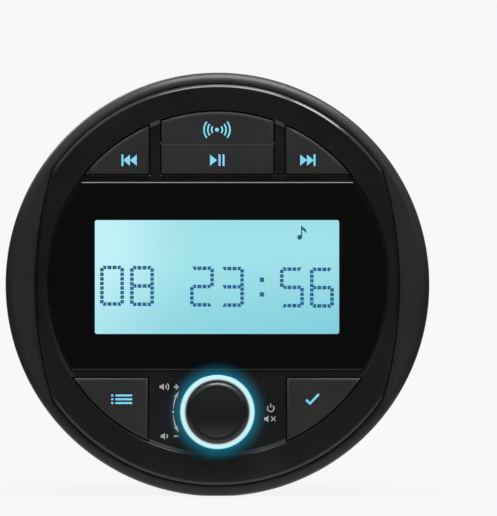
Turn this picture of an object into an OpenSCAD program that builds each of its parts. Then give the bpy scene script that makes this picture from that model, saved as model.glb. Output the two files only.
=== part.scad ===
// Round marine stereo for a gauge hole in a dash.
// Pieces are drawn in a face frame: x right, y up, z out of the face, z = 0 on the dash.
// upright() then stands the stereo up, with its face looking along -Y and +Z up.

/* [Faceplate and trim ring] */
// Width of the faceplate outside the can behind it
plate_over = 12.9; // [12:0.1:15]
// Width of the faceplate's rim at top and bottom
rim_w = 7.2; // [6:0.1:8]
// Width of the faceplate's rim at the waist
waist_rim = 2.6; // [2:0.1:4]
// Radius of the faceplate's shallow side arcs
side_arc_r = 100; // [80:1:160]
// Chamfer round the faceplate's front edge
plate_edge = 0.75; // [0.3:0.05:0.85]
// Gap between the faceplate and the trim ring
plate_gap = 0.25; // [0.15:0.05:0.5]
// Depth of the sunk floor below the rim
recess_depth = 0.9; // [0.5:0.1:1.5]
// Thickness of the faceplate behind the sunk floor
floor_t = 2.4; // [2.2:0.1:4]
// Width of the wall round the faceplate's back
back_wall_w = 2.5; // [1.5:0.1:2.5]
// Height of the wall round the faceplate's back
back_wall_h = 1; // [1:0.1:2]
// Width of the trim ring outside the faceplate
ring_w = 2.6; // [2.4:0.1:5]
// Height of the trim ring's front above its lip
ring_rise = 2.2; // [1.5:0.1:3]
// Rounding of the trim ring's outer front edge
ring_round = 2.2; // [0.5:0.1:2.3]
// Thickness of the trim ring's lip
lip_t = 1.2; // [0.8:0.1:2]

/* [Display] */
// Distance of the lens's top edge below the top of the sunk floor
lens_drop = 17.7; // [16:0.1:20]
// Floor between the lens's bottom edge and the light ring
lens_floor = 1.3; // [1:0.1:3]
// Thickness of the lens
lens_t = 1.5; // [1:0.1:2.5]
// Depth of the lens's seat in the floor
lens_seat = 1.1; // [0.6:0.1:1.3]
// Chamfer round the lens's front edge
lens_edge = 0.3; // [0.1:0.05:0.5]
// Gap round the lens in its seat
lens_gap = 0.15; // [0.1:0.05:0.3]
// Distance of the display's glass from the side of the sunk floor
glass_side = 10.7; // [10.2:0.1:12]
// Margin of the lens above the display's glass
glass_above = 7.4; // [7:0.1:9]
// Margin of the lens below the display's glass
glass_below = 7.1; // [6.5:0.1:9]
// Thickness of the display's glass
glass_t = 2.2; // [1.5:0.1:3]
// Width of the frame's lip in front of the glass
glass_lip = 1.3; // [0.8:0.1:2]
// Thickness of the frame's lip
glass_lip_t = 0.8; // [0.5:0.1:1.5]
// Thickness of the frame's side walls
frame_wall = 1.65; // [1:0.05:2]
// Width of the rubber strips that connect the glass
strip_w = 1.4; // [1:0.1:1.5]

/* [Keys] */
// Gap round each key
key_gap = 0.3; // [0.2:0.05:0.5]
// Floor between the lens and the top row of keys
top_row_gap = 2.2; // [1.5:0.1:4]
// Floor between the lens and the bottom row of keys
low_row_gap = 2.1; // [1.5:0.1:4]
// Width of the rocker key
rocker_w = 28.2; // [24:0.1:32]
// Floor between the rocker key and its neighbours
key_bar_w = 3.1; // [2.6:0.1:4]
// Distance of the bottom row's inner edges from the middle
low_key_x = 17.5; // [16:0.1:22]
// Height of the keys above the floor
key_rise = 1; // [0.5:0.1:2]
// Chamfer round the keys' front edges
key_edge = 0.35; // [0.1:0.05:0.5]
// Width of the stop flange round the back of each sliding key
key_flange_w = 0.8; // [0.5:0.1:1.2]
// Thickness of the stop flange
key_flange_t = 1.1; // [0.8:0.1:1.3]
// Free play between the stop flange and the faceplate
key_play = 0.1; // [0.05:0.05:0.2]
// Width of the crease across the rocker key
crease_w = 0.9; // [0.4:0.1:1.5]
// Depth of the crease across the rocker key
crease_d = 0.35; // [0.1:0.05:0.6]
// Radius of the rocker key's pivot pins
pivot_r = 0.6; // [0.4:0.05:0.8]
// Length of each pivot pin
pivot_len = 1.4; // [1:0.1:1.8]
// Distance of the rocker's contacts from its pivot
rocker_arm = 5; // [4:0.1:6]

/* [Silicone keypad] */
// Thickness of the mat
mat_t = 0.8; // [0.5:0.1:1.2]
// Radius of the boss that each key rests on
boss_r = 2.6; // [2.2:0.1:3]
// Width of the thin sloping skirt under each boss
dome_skirt = 1; // [0.6:0.1:1.5]
// Height of the thin sloping skirt
dome_h = 1.7; // [1.2:0.1:2.5]
// Wall of the dome beside the pill
dome_wall = 0.3; // [0.2:0.05:0.4]
// Radius of each contact pill
pill_r = 2; // [1.5:0.1:2.2]
// Thickness of each contact pill
pill_t = 1.2; // [0.8:0.1:1.4]
// Free travel of each pill to the board
contact_gap = 0.5; // [0.5:0.05:0.8]

/* [Knob] */
// Distance of the knob's middle from the bottom of the sunk floor
knob_inset = 11.2; // [10.8:0.1:12]
// Radius of the knob
knob_r = 7.45; // [6.5:0.05:7.6]
// Length of the knob
knob_len = 11.3; // [9:0.1:16]
// Rounding of the knob's front edge
knob_round = 1; // [0.4:0.1:1.5]
// Depth of the dish in the knob's face
knob_dish = 1; // [0.4:0.1:1.5]
// Wall of the knob's skirt
knob_wall = 1.1; // [0.8:0.1:1.6]
// Thickness of the knob's face in front of the shaft
knob_face_t = 1.2; // [0.8:0.1:2]
// Gap between the knob and the light ring
knob_gap = 0.45; // [0.3:0.05:1]
// Wall of the light ring
glow_wall = 1.4; // [1:0.1:1.8]
// Height of the light ring above the floor
glow_rise = 0.3; // [0.1:0.1:1]
// Width of the light ring's flange behind the faceplate
glow_flange_w = 1.5; // [1:0.1:2]
// Thickness of the light ring's flange
glow_flange_t = 1; // [0.6:0.1:1]
// Gap round the light ring in the faceplate
glow_gap = 0.1; // [0.05:0.05:0.2]
// Room behind the knob's skirt for the push
push_room = 1; // [0.8:0.1:2]

/* [Rotary encoder] */
// Width of the encoder's case
enc_w = 12.4; // [12:0.1:13]
// Height of the encoder's case
enc_h = 5.5; // [5:0.1:5.6]
// Floor and roof of the encoder's case
enc_wall = 0.95; // [0.7:0.05:1]
// Radius of the encoder's threaded bush
bush_r = 3.5; // [3.4:0.05:4]
// Length of the encoder's bush
bush_len = 5.5; // [4:0.1:6]
// Radius of the shaft
shaft_r = 3; // [2.5:0.05:3]
// Distance of the shaft's flat from its axis
shaft_flat = 1.5; // [1:0.1:2.5]
// Running clearance of the shaft and the pivots
run_gap = 0.05; // [0.03:0.01:0.08]
// Radius of the rotor
rotor_r = 4.5; // [4.2:0.05:5]
// Thickness of the rotor
rotor_t = 1.9; // [1.2:0.1:2]
// Radius of the collar at the shaft's foot
collar_r = 3.9; // [3.4:0.1:4.2]
// Thickness of the collar
collar_t = 0.6; // [0.4:0.1:0.7]
// Free room under the collar for the push
collar_room = 0.6; // [0.6:0.05:0.8]
// Clearance round the turning pieces inside the case
rotor_gap = 0.2; // [0.15:0.05:0.25]

/* [Housing and seals] */
// Diameter of the can that goes through the dash
can_d = 75; // [70:0.5:76]
// Wall of the can
can_t = 2.2; // [1.8:0.1:3]
// Depth of the can behind the dash
can_len = 34; // [30:0.5:60]
// Thickness of the flange
flange_t = 3.5; // [3:0.1:5]
// Length of the skirt round the front of the housing
skirt_h = 12.5; // [12:0.1:14]
// Wall of the skirt
skirt_t = 2.2; // [2:0.1:3]
// Set-back of the skirt from the faceplate's edge
skirt_inset = 0.9; // [0.5:0.1:1.5]
// Gap between the skirt and the trim ring
skirt_gap = 0.1; // [0.05:0.05:0.3]
// Thickness of the gasket on the dash
gasket_t = 1.5; // [1:0.1:3]
// Gap between the can and the gasket
gasket_gap = 1; // [0.9:0.1:1.5]
// Set-back of the gasket's edge from the trim ring's edge
gasket_inset = 2; // [1:0.1:3]
// Width of the seal in the front of the skirt
seal_w = 1; // [0.6:0.1:1.2]
// Depth of the seal in the front of the skirt
seal_d = 0.8; // [0.5:0.1:1.5]
// Thickness of the flat seal at the back of the can
back_seal_t = 1; // [0.6:0.1:1.5]

/* [Boards and electronics] */
// Thickness of both circuit boards
board_t = 1.6; // [1.2:0.1:2]
// Height of the ledge that the front board rests on
ledge_h = 2.9; // [2.5:0.1:4]
// Width of the ledge that the front board rests on
ledge_w = 2.5; // [1.5:0.1:3]
// Gap round the edge of each board
board_gap = 0.8; // [0.4:0.1:1.5]
// Distance of the main board in front of the can's back edge
main_board_depth = 6.4; // [6:0.1:8]
// Edge gap of the main board in the can
main_board_gap = 2.3; // [1.5:0.1:4]
// Tuner module: width, height, thickness
tuner_size = [22, 14, 5]; // [4:0.5:24]
// Margin of the main board beside the tuner module
tuner_side = 8; // [7:0.5:12]
// Height of the tuner module's middle
tuner_y = 9; // [8:0.5:10]
// Radius of the filter capacitors
cap_r = 5; // [4:0.1:6]
// Length of the filter capacitors
cap_len = 14; // [10:0.5:18]
// Margin of the main board beside the filter capacitors
cap_side = 10; // [8:0.5:11]
// Heights of the filter capacitors' middles
cap_rows = [10, -3.5]; // [-5:0.5:12]
// Amplifier chip: width, height, thickness
amp_size = [20, 12, 4.4]; // [3:0.1:22]
// Margin of the main board above the amplifier chip
amp_above = 11; // [10:0.5:14]
// Thickness of the pad between chip and heat sink
pad_t = 0.5; // [0.3:0.1:1]
// Ribbon cable's width
ribbon_w = 20; // [14:0.5:22]
// Ribbon cable's thickness
ribbon_t = 0.5; // [0.3:0.1:1]
// Sideways step of the ribbon cable between its ends
ribbon_step = 20; // [10:0.5:22]
// Ribbon socket: depth across the ribbon, height
ribbon_socket = [5, 3.9]; // [3:0.1:6]
// Size of each lamp: width, height, thickness
lamp_size = [3.5, 2.8, 1.9]; // [1.5:0.1:4]

/* [Rear cover and sockets] */
// Thickness of the rear cover
cover_t = 3; // [2:0.1:5]
// Length of the cooling fins
fin_h = 7; // [4:0.5:8]
// Thickness of the cooling fins
fin_t = 1.6; // [1:0.1:2.5]
// Spacing of the cooling fins
fin_pitch = 4.8; // [3.5:0.1:7]
// Harness socket: width and height
harness_size = [22, 9]; // [8:0.5:24]
// Room between the bracket's channel and the harness socket
harness_room = 1; // [0.5:0.1:2]
// Length of the harness socket behind the cover
harness_len = 11; // [9:0.5:14]
// Depth of the harness pins' tips inside the socket's mouth
harness_mouth = 5.2; // [4.5:0.1:6]
// Wall of the harness socket
harness_wall = 1.2; // [0.8:0.1:1.6]
// Pins in each row of the harness socket
harness_cols = 6; // [4:1:7]
// Thickness of the harness pins
harness_pin = 0.8; // [0.6:0.1:1]
// Clearance of sockets and screws in the holes they pass through
pass_gap = 0.2; // [0.1:0.05:0.3]
// Room between the can's inside and the sockets' flanges
socket_room = 0.4; // [0.3:0.1:1]
// Angle of the left line socket round the cover
left_jack_angle = 231; // [229:1:233]
// Angle of the right line socket round the cover
right_jack_angle = 256; // [254:1:258]
// Radius of the line sockets
jack_r = 4.15; // [4:0.05:4.3]
// Length of the line sockets
jack_len = 9; // [7:0.5:12]
// Angle of the antenna socket round the cover
antenna_angle = 285; // [283:1:288]
// Outer radius of the antenna socket
antenna_r = 5; // [4.8:0.1:5.4]
// Bore radius of the antenna socket
antenna_bore = 4; // [3.6:0.1:4.2]
// Length of the antenna socket
antenna_len = 12; // [9:0.5:16]
// Thickness of the antenna socket's insulator
insulator_t = 3; // [2:0.1:4]
// Radius of the pin's hole in the round insulators
contact_r = 1.65; // [1.2:0.05:2]

/* [Clamp] */
// Thickness of the dash that the bracket is set for
dash_t = 6; // [3:0.5:15]
// Width of the bracket's strip
strap_w = 14; // [12:0.5:15]
// Thickness of the bracket's strip
strap_t = 2; // [1.5:0.1:3]
// Gap between the can and the bracket's legs
leg_gap = 6.5; // [5:0.1:10]
// Length of the bracket's feet
foot_len = 6; // [4:0.1:7]
// Room between the rear cover and the bracket
strap_room = 9; // [5:0.5:20]
// Distance of the studs from the middle
stud_x = 20; // [18:0.5:22]
// Radius of the studs
stud_r = 2.5; // [2:0.1:3]
// Length of the studs behind the rear cover
stud_len = 30; // [24:0.5:45]
// Running clearance of the nuts' bores on the studs
nut_gap = 0.05; // [0.03:0.01:0.1]
// Radius of the thumb nuts
nut_r = 6.5; // [5.5:0.1:8]
// Length of the thumb nuts
nut_len = 10; // [6:0.5:12]
// Number of finger scallops round each thumb nut
nut_scallops = 12; // [8:1:16]
// Radius of the washers
washer_r = 6; // [4.5:0.1:7]
// Thickness of the washers
washer_t = 1; // [0.6:0.1:1.5]

/* [Screws] */
// Radius of the front screws' thread
front_screw_r = 1.25; // [1:0.05:1.4]
// Radius of the board screws' thread
board_screw_r = 0.95; // [0.8:0.05:1.1]
// Radius of the rear screws' thread
rear_screw_r = 1.5; // [1.2:0.05:1.6]
// Wall of plastic round each screw in its post
post_wall = 1.05; // [0.9:0.05:1.3]
// Clearance of each screw in its thread
thread_gap = 0.05; // [0.02:0.01:0.08]
// Distance of the front posts above and below the middle of the face
post_y = 16; // [14:0.1:17]
// Gap between the front posts and the display's frame
post_clear = 1.55; // [1:0.05:2]
// Length of the front screws' thread in the posts
front_grip = 6; // [4:0.5:8]
// Wall of the housing round each front screw's head
head_wall = 1.2; // [0.8:0.1:1.5]
// Wall of the bosses round the board screws
board_boss_wall = 1.5; // [1:0.1:2]
// Length of the main board screws' thread in the posts
board_grip = 4; // [3:0.5:5]
// Wall of the bosses round the rear screws
rear_boss_wall = 2.7; // [2:0.1:3]
// Length of the bosses for the rear screws
rear_boss_len = 12; // [8:0.5:15]
// Free depth left under each screw's tip
tip_room = 0.5; // [0.3:0.1:1]

/* [Hidden] */
$fn = 96;
over = 1;

can_r = can_d / 2;
can_ri = can_r - can_t;
plate_r = can_r + plate_over;
ring_r = plate_r + ring_w;
recess_r = plate_r - rim_w;
plate_half_w = recess_r + waist_rim;
skirt_r = plate_r - skirt_inset;
skirt_ri = skirt_r - skirt_t;

z_gasket = gasket_t;
z_flange = z_gasket + flange_t;
z_board = z_flange + ledge_h;
z_front = z_board + board_t;
z_skirt = z_gasket + skirt_h;
z_lip = z_skirt + lip_t;
z_plate = z_lip + back_wall_h;
z_floor = z_plate + floor_t;
z_rim = z_floor + recess_depth;
z_key = z_floor + key_rise;
z_flange_key = z_plate - key_play;
z_key_back = z_flange_key - key_flange_t;
z_lens = z_floor - lens_seat;

z_can = -can_len;
z_cover = z_can - back_seal_t;
z_rear = z_cover - cover_t;
z_main = z_can + main_board_depth + board_t;
z_main_back = z_main - board_t;
z_strap = z_rear - strap_room;
z_washer = z_strap - strap_t;
z_nut = z_washer - washer_t;
z_stud_end = z_rear - stud_len;

knob_drop = recess_r - knob_inset;
knob_at = [0, -knob_drop];
glow_ri = knob_r + knob_gap;
glow_r = glow_ri + glow_wall;
glow_flange_r = glow_r + glow_flange_w;
lens_top = recess_r - lens_drop;
lens_bottom = knob_drop - glow_r - lens_floor;

top_row_y = lens_top + top_row_gap;
low_row_y = -lens_bottom - low_row_gap;
key_r = recess_r - key_gap;
rocker_y = (top_row_y + key_r) / 2;
side_key_x = rocker_w / 2 + key_bar_w;
z_pivot = (z_plate + z_floor) / 2;
pill_z = z_front + contact_gap;
dome_ceiling = pill_z + pill_t;

glass_w = 2 * (recess_r - glass_side);
glass_h = lens_top + lens_bottom - glass_above - glass_below;
glass_y = (lens_top - glass_above - lens_bottom + glass_below) / 2;
frame_w = glass_w + 2 * frame_wall;
frame_h = glass_h + 2 * frame_wall;
frame_gap = 0.1;
z_glass = z_plate - glass_lip_t - glass_t;
guide_h = glass_h - 2 * (strip_w + 2 * frame_gap);

z_glow = z_plate - glow_flange_t;
z_knob = z_plate + push_room;
bush_top = z_front + enc_h + bush_len;
shaft_top = z_knob + knob_len - knob_dish - knob_face_t;
collar_z = z_front + enc_wall + collar_room;

post_r = front_screw_r + post_wall;
post_boss_h = 2;
z_post = z_flange + post_boss_h;
front_head = [2.2, 1.7];
post_x = max(frame_w / 2 + post_r + post_clear,
             sqrt(pow(can_r + front_head[0] + head_wall, 2) - pow(post_y, 2)));
front_posts = [for (x = [-post_x, post_x], y = [-post_y, post_y]) [x, y]];
board_head = [1.8, 1.3];
board_boss_r = board_screw_r + board_boss_wall;
board_screw_x = can_r + gasket_gap + board_boss_r;
board_screw_y = -(skirt_ri - board_boss_r);
board_screws_at = [[-board_screw_x, 0], [board_screw_x, 0], [0, board_screw_y]];
board_r = skirt_ri - board_gap;

rear_boss_r = rear_screw_r + rear_boss_wall;
boss_sink = 0.4;
rear_boss_at = can_ri - rear_boss_r + boss_sink;
rear_screw_angles = [50, 130, 208, 332];
rear_screws_at = [for (a = rear_screw_angles) rear_boss_at * [cos(a), sin(a)]];
rear_head = [2.8, 2.2];
main_board_r = can_ri - main_board_gap;
main_post_r = board_screw_r + board_boss_wall;
main_post_inset = 5;
main_post_y = 5;
main_post_at = main_board_r - main_post_inset;
main_posts_at = [[-main_post_at, main_post_y], [main_post_at, main_post_y], [0, main_post_at]];
tuner_at = [-(main_board_r - tuner_side - tuner_size[0] / 2), tuner_y];
caps_at = [for (y = cap_rows) [main_board_r - cap_side - cap_r, y]];
amp_y = main_board_r - amp_above - amp_size[1] / 2;
cap_round = 0.8;

main_socket_y = -ribbon_step / 2;
z_ribbon_low = z_main + ribbon_socket[1];
z_ribbon_high = z_board - ribbon_socket[1];
bend_r = ribbon_step / 2;
ribbon_straight = (z_ribbon_high - z_ribbon_low) / 2 - bend_r;

leg_x = can_r + leg_gap;
foot_x = leg_x + strap_t + foot_len;
jack_flange = [4.9, 1.2];
jack_stem_r = 3;
stem_tail = 1.5;
jack_wall = 0.5;
jack_bore = jack_r - jack_wall;
seat_step = 0.5;
jack_rim = 1.5;
jack_seat = jack_len - jack_flange[1] - jack_rim;
antenna_flange = [5.6, 1.5];
jack_ring = can_ri - socket_room - jack_flange[0];
antenna_ring = can_ri - socket_room - antenna_flange[0];
left_jack_at = jack_ring * [cos(left_jack_angle), sin(left_jack_angle)];
right_jack_at = jack_ring * [cos(right_jack_angle), sin(right_jack_angle)];
antenna_at = antenna_ring * [cos(antenna_angle), sin(antenna_angle)];
strap_clear = 1.5;
channel_half = strap_w / 2 + strap_clear;
harness_drop = channel_half + harness_room + harness_size[1] / 2;

// Stands the face frame up: the face looks along -Y.
module upright() {
    rotate([90, 0, 0]) children();
}

// Round plate from z upwards.
module disc(r, z, h) {
    translate([0, 0, z]) cylinder(r = r, h = h);
}

// Flat ring from z upwards.
module tube(r_out, r_in, z, h) {
    difference() {
        disc(r_out, z, h);
        disc(r_in, z - over, h + 2 * over);
    }
}

// Block between two corners, from z upwards.
module slab(x0, x1, y0, y1, z, h) {
    translate([x0, y0, z]) cube([x1 - x0, y1 - y0, h]);
}

// Block centred on a place, from z upwards.
module block(w, d, z, h, at = [0, 0]) {
    slab(at[0] - w / 2, at[0] + w / 2, at[1] - d / 2, at[1] + d / 2, z, h);
}

// Copies of the children at each place.
module each_at(places) {
    for (p = places) translate([p[0], p[1], 0]) children();
}

// Round plate with a chamfered front edge.
module edged_disc(r, z, h, edge) {
    translate([0, 0, z])
        rotate_extrude() polygon([[0, 0], [r, 0], [r, h - edge], [r - edge, h], [0, h]]);
}

// Half section of a round post with a rounded front edge.
module round_section(r, h, f) {
    square([r - f, h]);
    square([r, h - f]);
    translate([r - f, h - f]) circle(f);
}

// Block with chamfered front edges.
module edged_slab(x0, x1, y0, y1, z0, z1, edge) {
    intersection() {
        rotate([90, 0, 0]) translate([0, 0, -y1]) linear_extrude(y1 - y0)
            polygon([[x0, z0], [x1, z0], [x1, z1 - edge], [x1 - edge, z1],
                     [x0 + edge, z1], [x0, z1 - edge]]);
        rotate([90, 0, 90]) translate([0, 0, x0]) linear_extrude(x1 - x0)
            polygon([[y0, z0], [y1, z0], [y1, z1 - edge], [y1 - edge, z1],
                     [y0 + edge, z1], [y0, z1 - edge]]);
    }
}

// The faceplate's outline, grown outwards, as a solid.
module barrel(grow, z, h) {
    side_c = side_arc_r - plate_half_w;
    intersection() {
        disc(plate_r + grow, z, h);
        translate([side_c, 0, 0]) disc(side_arc_r + grow, z, h);
        translate([-side_c, 0, 0]) disc(side_arc_r + grow, z, h);
    }
}

// The faceplate's outline with a chamfered front edge.
module edged_barrel(z, h, edge) {
    side_c = side_arc_r - plate_half_w;
    intersection() {
        edged_disc(plate_r, z, h, edge);
        translate([side_c, 0, 0]) edged_disc(side_arc_r, z, h, edge);
        translate([-side_c, 0, 0]) edged_disc(side_arc_r, z, h, edge);
    }
}

// Pan-head screw along -z: the head's seat is at z, the thread goes up from it.
module screw_up(r, head, z, len) {
    disc(head[0], z - head[1], head[1]);
    disc(r, z, len);
}

// Pan-head screw whose head stands in front of z and whose thread goes down from it.
module screw_down(r, head, z, len) {
    disc(head[0], z, head[1]);
    disc(r, z - len, len);
}

// Extents of the five keys: left, right, bottom, top.
prev_box = [-key_r, -side_key_x, top_row_y, key_r];
next_box = [side_key_x, key_r, top_row_y, key_r];
rocker_box = [-rocker_w / 2, rocker_w / 2, top_row_y, key_r];
mode_box = [-key_r, -low_key_x, -key_r, low_row_y];
select_box = [low_key_x, key_r, -key_r, low_row_y];

// Places of the domes under the keys.
side_dome_in = [5.5, 4.5];
low_dome_in = [7, 6.5];
function side_dome(sign) = [sign * (side_key_x + side_dome_in[0]), top_row_y + side_dome_in[1]];
function low_dome(sign) = [sign * (low_key_x + low_dome_in[0]), low_row_y - low_dome_in[1]];
rocker_domes = [[0, rocker_y - rocker_arm], [0, rocker_y + rocker_arm]];
top_domes = concat([side_dome(-1), side_dome(1)], rocker_domes);
low_domes = [low_dome(-1), low_dome(1)];

// A key's block inside the round recess, grown by a margin.
module key_block(box, grow, z, h) {
    intersection() {
        disc(key_r + grow, z, h);
        slab(box[0] - grow, box[1] + grow, box[2] - grow, box[3] + grow, z, h);
    }
}

// A key's body with its chamfered front edge.
module key_body(box) {
    intersection() {
        edged_disc(key_r, z_key_back, z_key - z_key_back, key_edge);
        edged_slab(box[0], box[1], box[2], box[3], z_key_back, z_key, key_edge);
    }
}

// A sliding key with the flange that stops it behind the faceplate.
module sliding_key(box) {
    key_body(box);
    key_block(box, key_flange_w, z_key_back, key_flange_t);
}

module trim_ring() {
    color("#2c2d2f") upright() difference() {
        translate([0, 0, z_gasket])
            rotate_extrude() round_section(ring_r, z_lip + ring_rise - z_gasket, ring_round);
        disc(skirt_r + skirt_gap, z_gasket - over, skirt_h + over);
        barrel(plate_gap, z_lip, ring_rise + over);
        barrel(-back_wall_w, z_skirt - over, lip_t + 2 * over);
    }
}

module faceplate() {
    color("#1d1e20") upright() difference() {
        union() {
            difference() {
                edged_barrel(z_lip, z_rim - z_lip, plate_edge);
                barrel(-back_wall_w, z_lip - over, back_wall_h + over);
            }
            each_at(front_posts) disc(post_r, z_post, z_plate - z_post + floor_t / 4);
        }
        translate([0, 0, z_floor])
            cylinder(r1 = recess_r, r2 = recess_r + recess_depth, h = recess_depth);
        disc(recess_r, z_rim - over / 2, over);
        for (box = [prev_box, rocker_box, next_box, mode_box, select_box])
            key_block(box, key_gap, z_plate - over, floor_t + 2 * over);
        intersection() {
            disc(recess_r, z_lens, lens_seat + over);
            slab(-recess_r, recess_r, -lens_bottom - lens_gap, lens_top + lens_gap,
                 z_lens, lens_seat + over);
        }
        block(glass_w - 2 * glass_lip, glass_h - 2 * glass_lip, z_plate - over,
              floor_t + over, [0, glass_y]);
        translate(knob_at) disc(glow_r + glow_gap, z_plate - over, floor_t + 2 * over);
        each_at(front_posts) disc(front_screw_r + thread_gap, z_post - over, z_plate - z_post);
        for (side = [-1, 1]) translate([side * (rocker_w / 2 + pivot_len / 2), rocker_y, 0]) {
            pivot_slot = pivot_len + 2 * key_gap;
            translate([-pivot_slot / 2, 0, z_pivot]) rotate([0, 90, 0])
                cylinder(r = pivot_r + run_gap, h = pivot_slot);
            block(pivot_slot, 2 * (pivot_r + run_gap), z_plate - over, z_pivot - z_plate + over);
        }
    }
}

module display_lens() {
    r = recess_r - lens_gap;
    color("#0b0d10") upright() intersection() {
        edged_disc(r, z_lens, lens_t, lens_edge);
        edged_slab(-r, r, -lens_bottom, lens_top, z_lens, z_lens + lens_t, lens_edge);
    }
}

module lcd_glass() {
    color("#b5e6f0") upright() block(glass_w, glass_h, z_glass, glass_t, [0, glass_y]);
}

module lcd_frame() {
    color("#e6e6e0") upright() difference() {
        block(frame_w, frame_h, z_front, z_plate - z_front, [0, glass_y]);
        block(glass_w + 2 * frame_gap, glass_h + 2 * frame_gap, z_front - over,
              z_glass + glass_t - z_front + over, [0, glass_y]);
        block(glass_w - 2 * glass_lip, glass_h - 2 * glass_lip, z_glass,
              z_plate - z_glass + over, [0, glass_y]);
    }
}

// Places of the lamps along the bottom of the light guide.
lamp_row = [for (i = [-1, 0, 1]) [i * glass_w / 3, glass_y - guide_h / 2 + lamp_size[1] / 2]];

module backlight_guide() {
    color("#eef7fa") upright() difference() {
        block(glass_w, guide_h, z_front, z_glass - z_front, [0, glass_y]);
        each_at(lamp_row) translate([0, -over / 2, 0])
            block(lamp_size[0] + 2 * frame_gap, lamp_size[1] + 2 * frame_gap + over,
                  z_front - over, lamp_size[2] + frame_gap + over);
    }
}

module backlight_leds() {
    color("#f4f4d8") upright() each_at(lamp_row)
        block(lamp_size[0], lamp_size[1], z_front, lamp_size[2]);
}

module contact_strips() {
    color("#5a5f66") upright() for (side = [-1, 1])
        block(glass_w, strip_w, z_front, z_glass - z_front,
              [0, glass_y + side * (glass_h - strip_w) / 2]);
}

module front_board() {
    color("#1f5a34") upright() difference() {
        disc(board_r, z_board, board_t);
        each_at(front_posts) disc(post_r + pass_gap, z_board - over, board_t + 2 * over);
        each_at(board_screws_at) disc(board_screw_r + pass_gap, z_board - over, board_t + 2 * over);
    }
}

module front_board_screws() {
    color("#b9bcc0") upright() each_at(board_screws_at)
        screw_down(board_screw_r, board_head, z_front, board_t + ledge_h - tip_room);
}

module front_screws() {
    seat = z_gasket + front_head[1] + pass_gap;
    color("#b9bcc0") upright() each_at(front_posts)
        screw_up(front_screw_r, front_head, seat, z_post + front_grip - seat);
}

module prev_button() {
    color("#2f3033") upright() sliding_key(prev_box);
}

module next_button() {
    color("#2f3033") upright() sliding_key(next_box);
}

module mode_button() {
    color("#2f3033") upright() sliding_key(mode_box);
}

module select_button() {
    color("#2f3033") upright() sliding_key(select_box);
}

module rocker_key() {
    color("#2f3033") upright() {
        difference() {
            key_body(rocker_box);
            rotate([90, 0, 90]) translate([0, 0, -rocker_w]) linear_extrude(2 * rocker_w)
                polygon([[rocker_y, z_key - crease_d], [rocker_y + crease_w, z_key + crease_d],
                         [rocker_y - crease_w, z_key + crease_d]]);
        }
        for (side = [0, 1]) mirror([side, 0, 0])
            translate([rocker_w / 2 - over, rocker_y, z_pivot]) rotate([0, 90, 0])
                cylinder(r = pivot_r, h = pivot_len + over);
    }
}

// Silicone dome with its boss, standing on the board.
module dome() {
    translate([0, 0, z_front]) rotate_extrude() difference() {
        polygon([[0, 0], [boss_r + dome_skirt + mat_t, 0], [boss_r + dome_skirt + mat_t, mat_t],
                 [boss_r + dome_skirt, mat_t], [boss_r, dome_h + mat_t],
                 [boss_r, z_key_back - z_front], [0, z_key_back - z_front]]);
        polygon([[-over, -over], [boss_r + dome_skirt, -over], [boss_r + dome_skirt, 0],
                 [boss_r - dome_wall, dome_ceiling - z_front], [-over, dome_ceiling - z_front]]);
    }
}

// Mat with a dome at each place; the children give the mat's outline.
module keypad(domes) {
    difference() {
        children();
        each_at(domes) disc(boss_r + dome_skirt + mat_t / 2, z_front - over, mat_t + 2 * over);
    }
    each_at(domes) dome();
}

module keypad_top() {
    mat_edge = 1;
    mat_reach = 2.4;
    color("#8d9296") upright() keypad(top_domes) intersection() {
        disc(recess_r + mat_reach, z_front, mat_t);
        slab(-recess_r, recess_r, top_row_y - mat_edge, plate_r, z_front, mat_t);
    }
}

module keypad_bottom() {
    bridge = 2.5;
    bridge_gap = 1;
    mat_top = glow_r + bridge_gap + bridge - knob_drop;
    color("#8d9296") upright() keypad(low_domes) difference() {
        intersection() {
            disc(recess_r, z_front, mat_t);
            slab(-recess_r, recess_r, -plate_r, mat_top, z_front, mat_t);
        }
        translate(knob_at) disc(glow_r + bridge_gap, z_front - over, mat_t + 2 * over);
        slab(-glow_flange_r, glow_flange_r, -plate_r, -knob_drop, z_front - over, mat_t + 2 * over);
    }
}

module pills(places) {
    color("#151515") upright() each_at(places) disc(pill_r, pill_z, pill_t);
}

module prev_pill() {
    pills([side_dome(-1)]);
}

module next_pill() {
    pills([side_dome(1)]);
}

module rocker_pills() {
    pills(rocker_domes);
}

module mode_pill() {
    pills([low_dome(-1)]);
}

module select_pill() {
    pills([low_dome(1)]);
}

module encoder_body() {
    cavity_r = rotor_r + rotor_gap;
    color("#9aa0a4") upright() translate(knob_at) difference() {
        union() {
            block(enc_w, enc_w, z_front, enc_h);
            disc(bush_r, z_front, enc_h + bush_len);
        }
        disc(cavity_r, z_front + enc_wall, enc_h - 2 * enc_wall);
        disc(shaft_r + run_gap, z_front + enc_h - enc_wall - over, bush_len + 2 * over + enc_wall);
    }
}

// Round bar with a flat along one side.
module flatted(r, z, h) {
    intersection() {
        disc(r, z, h);
        slab(-2 * r, shaft_flat + r - shaft_r, -2 * r, 2 * r, z, h);
    }
}

module encoder_rotor() {
    z = collar_z + collar_t + rotor_gap;
    color("#e8e4d8") upright() translate(knob_at) difference() {
        disc(rotor_r, z, rotor_t);
        flatted(shaft_r + run_gap, z - over, rotor_t + 2 * over);
    }
}

module encoder_shaft() {
    color("#c9cccf") upright() translate(knob_at) {
        disc(collar_r, collar_z, collar_t);
        flatted(shaft_r, collar_z, shaft_top - collar_z);
    }
}

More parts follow.
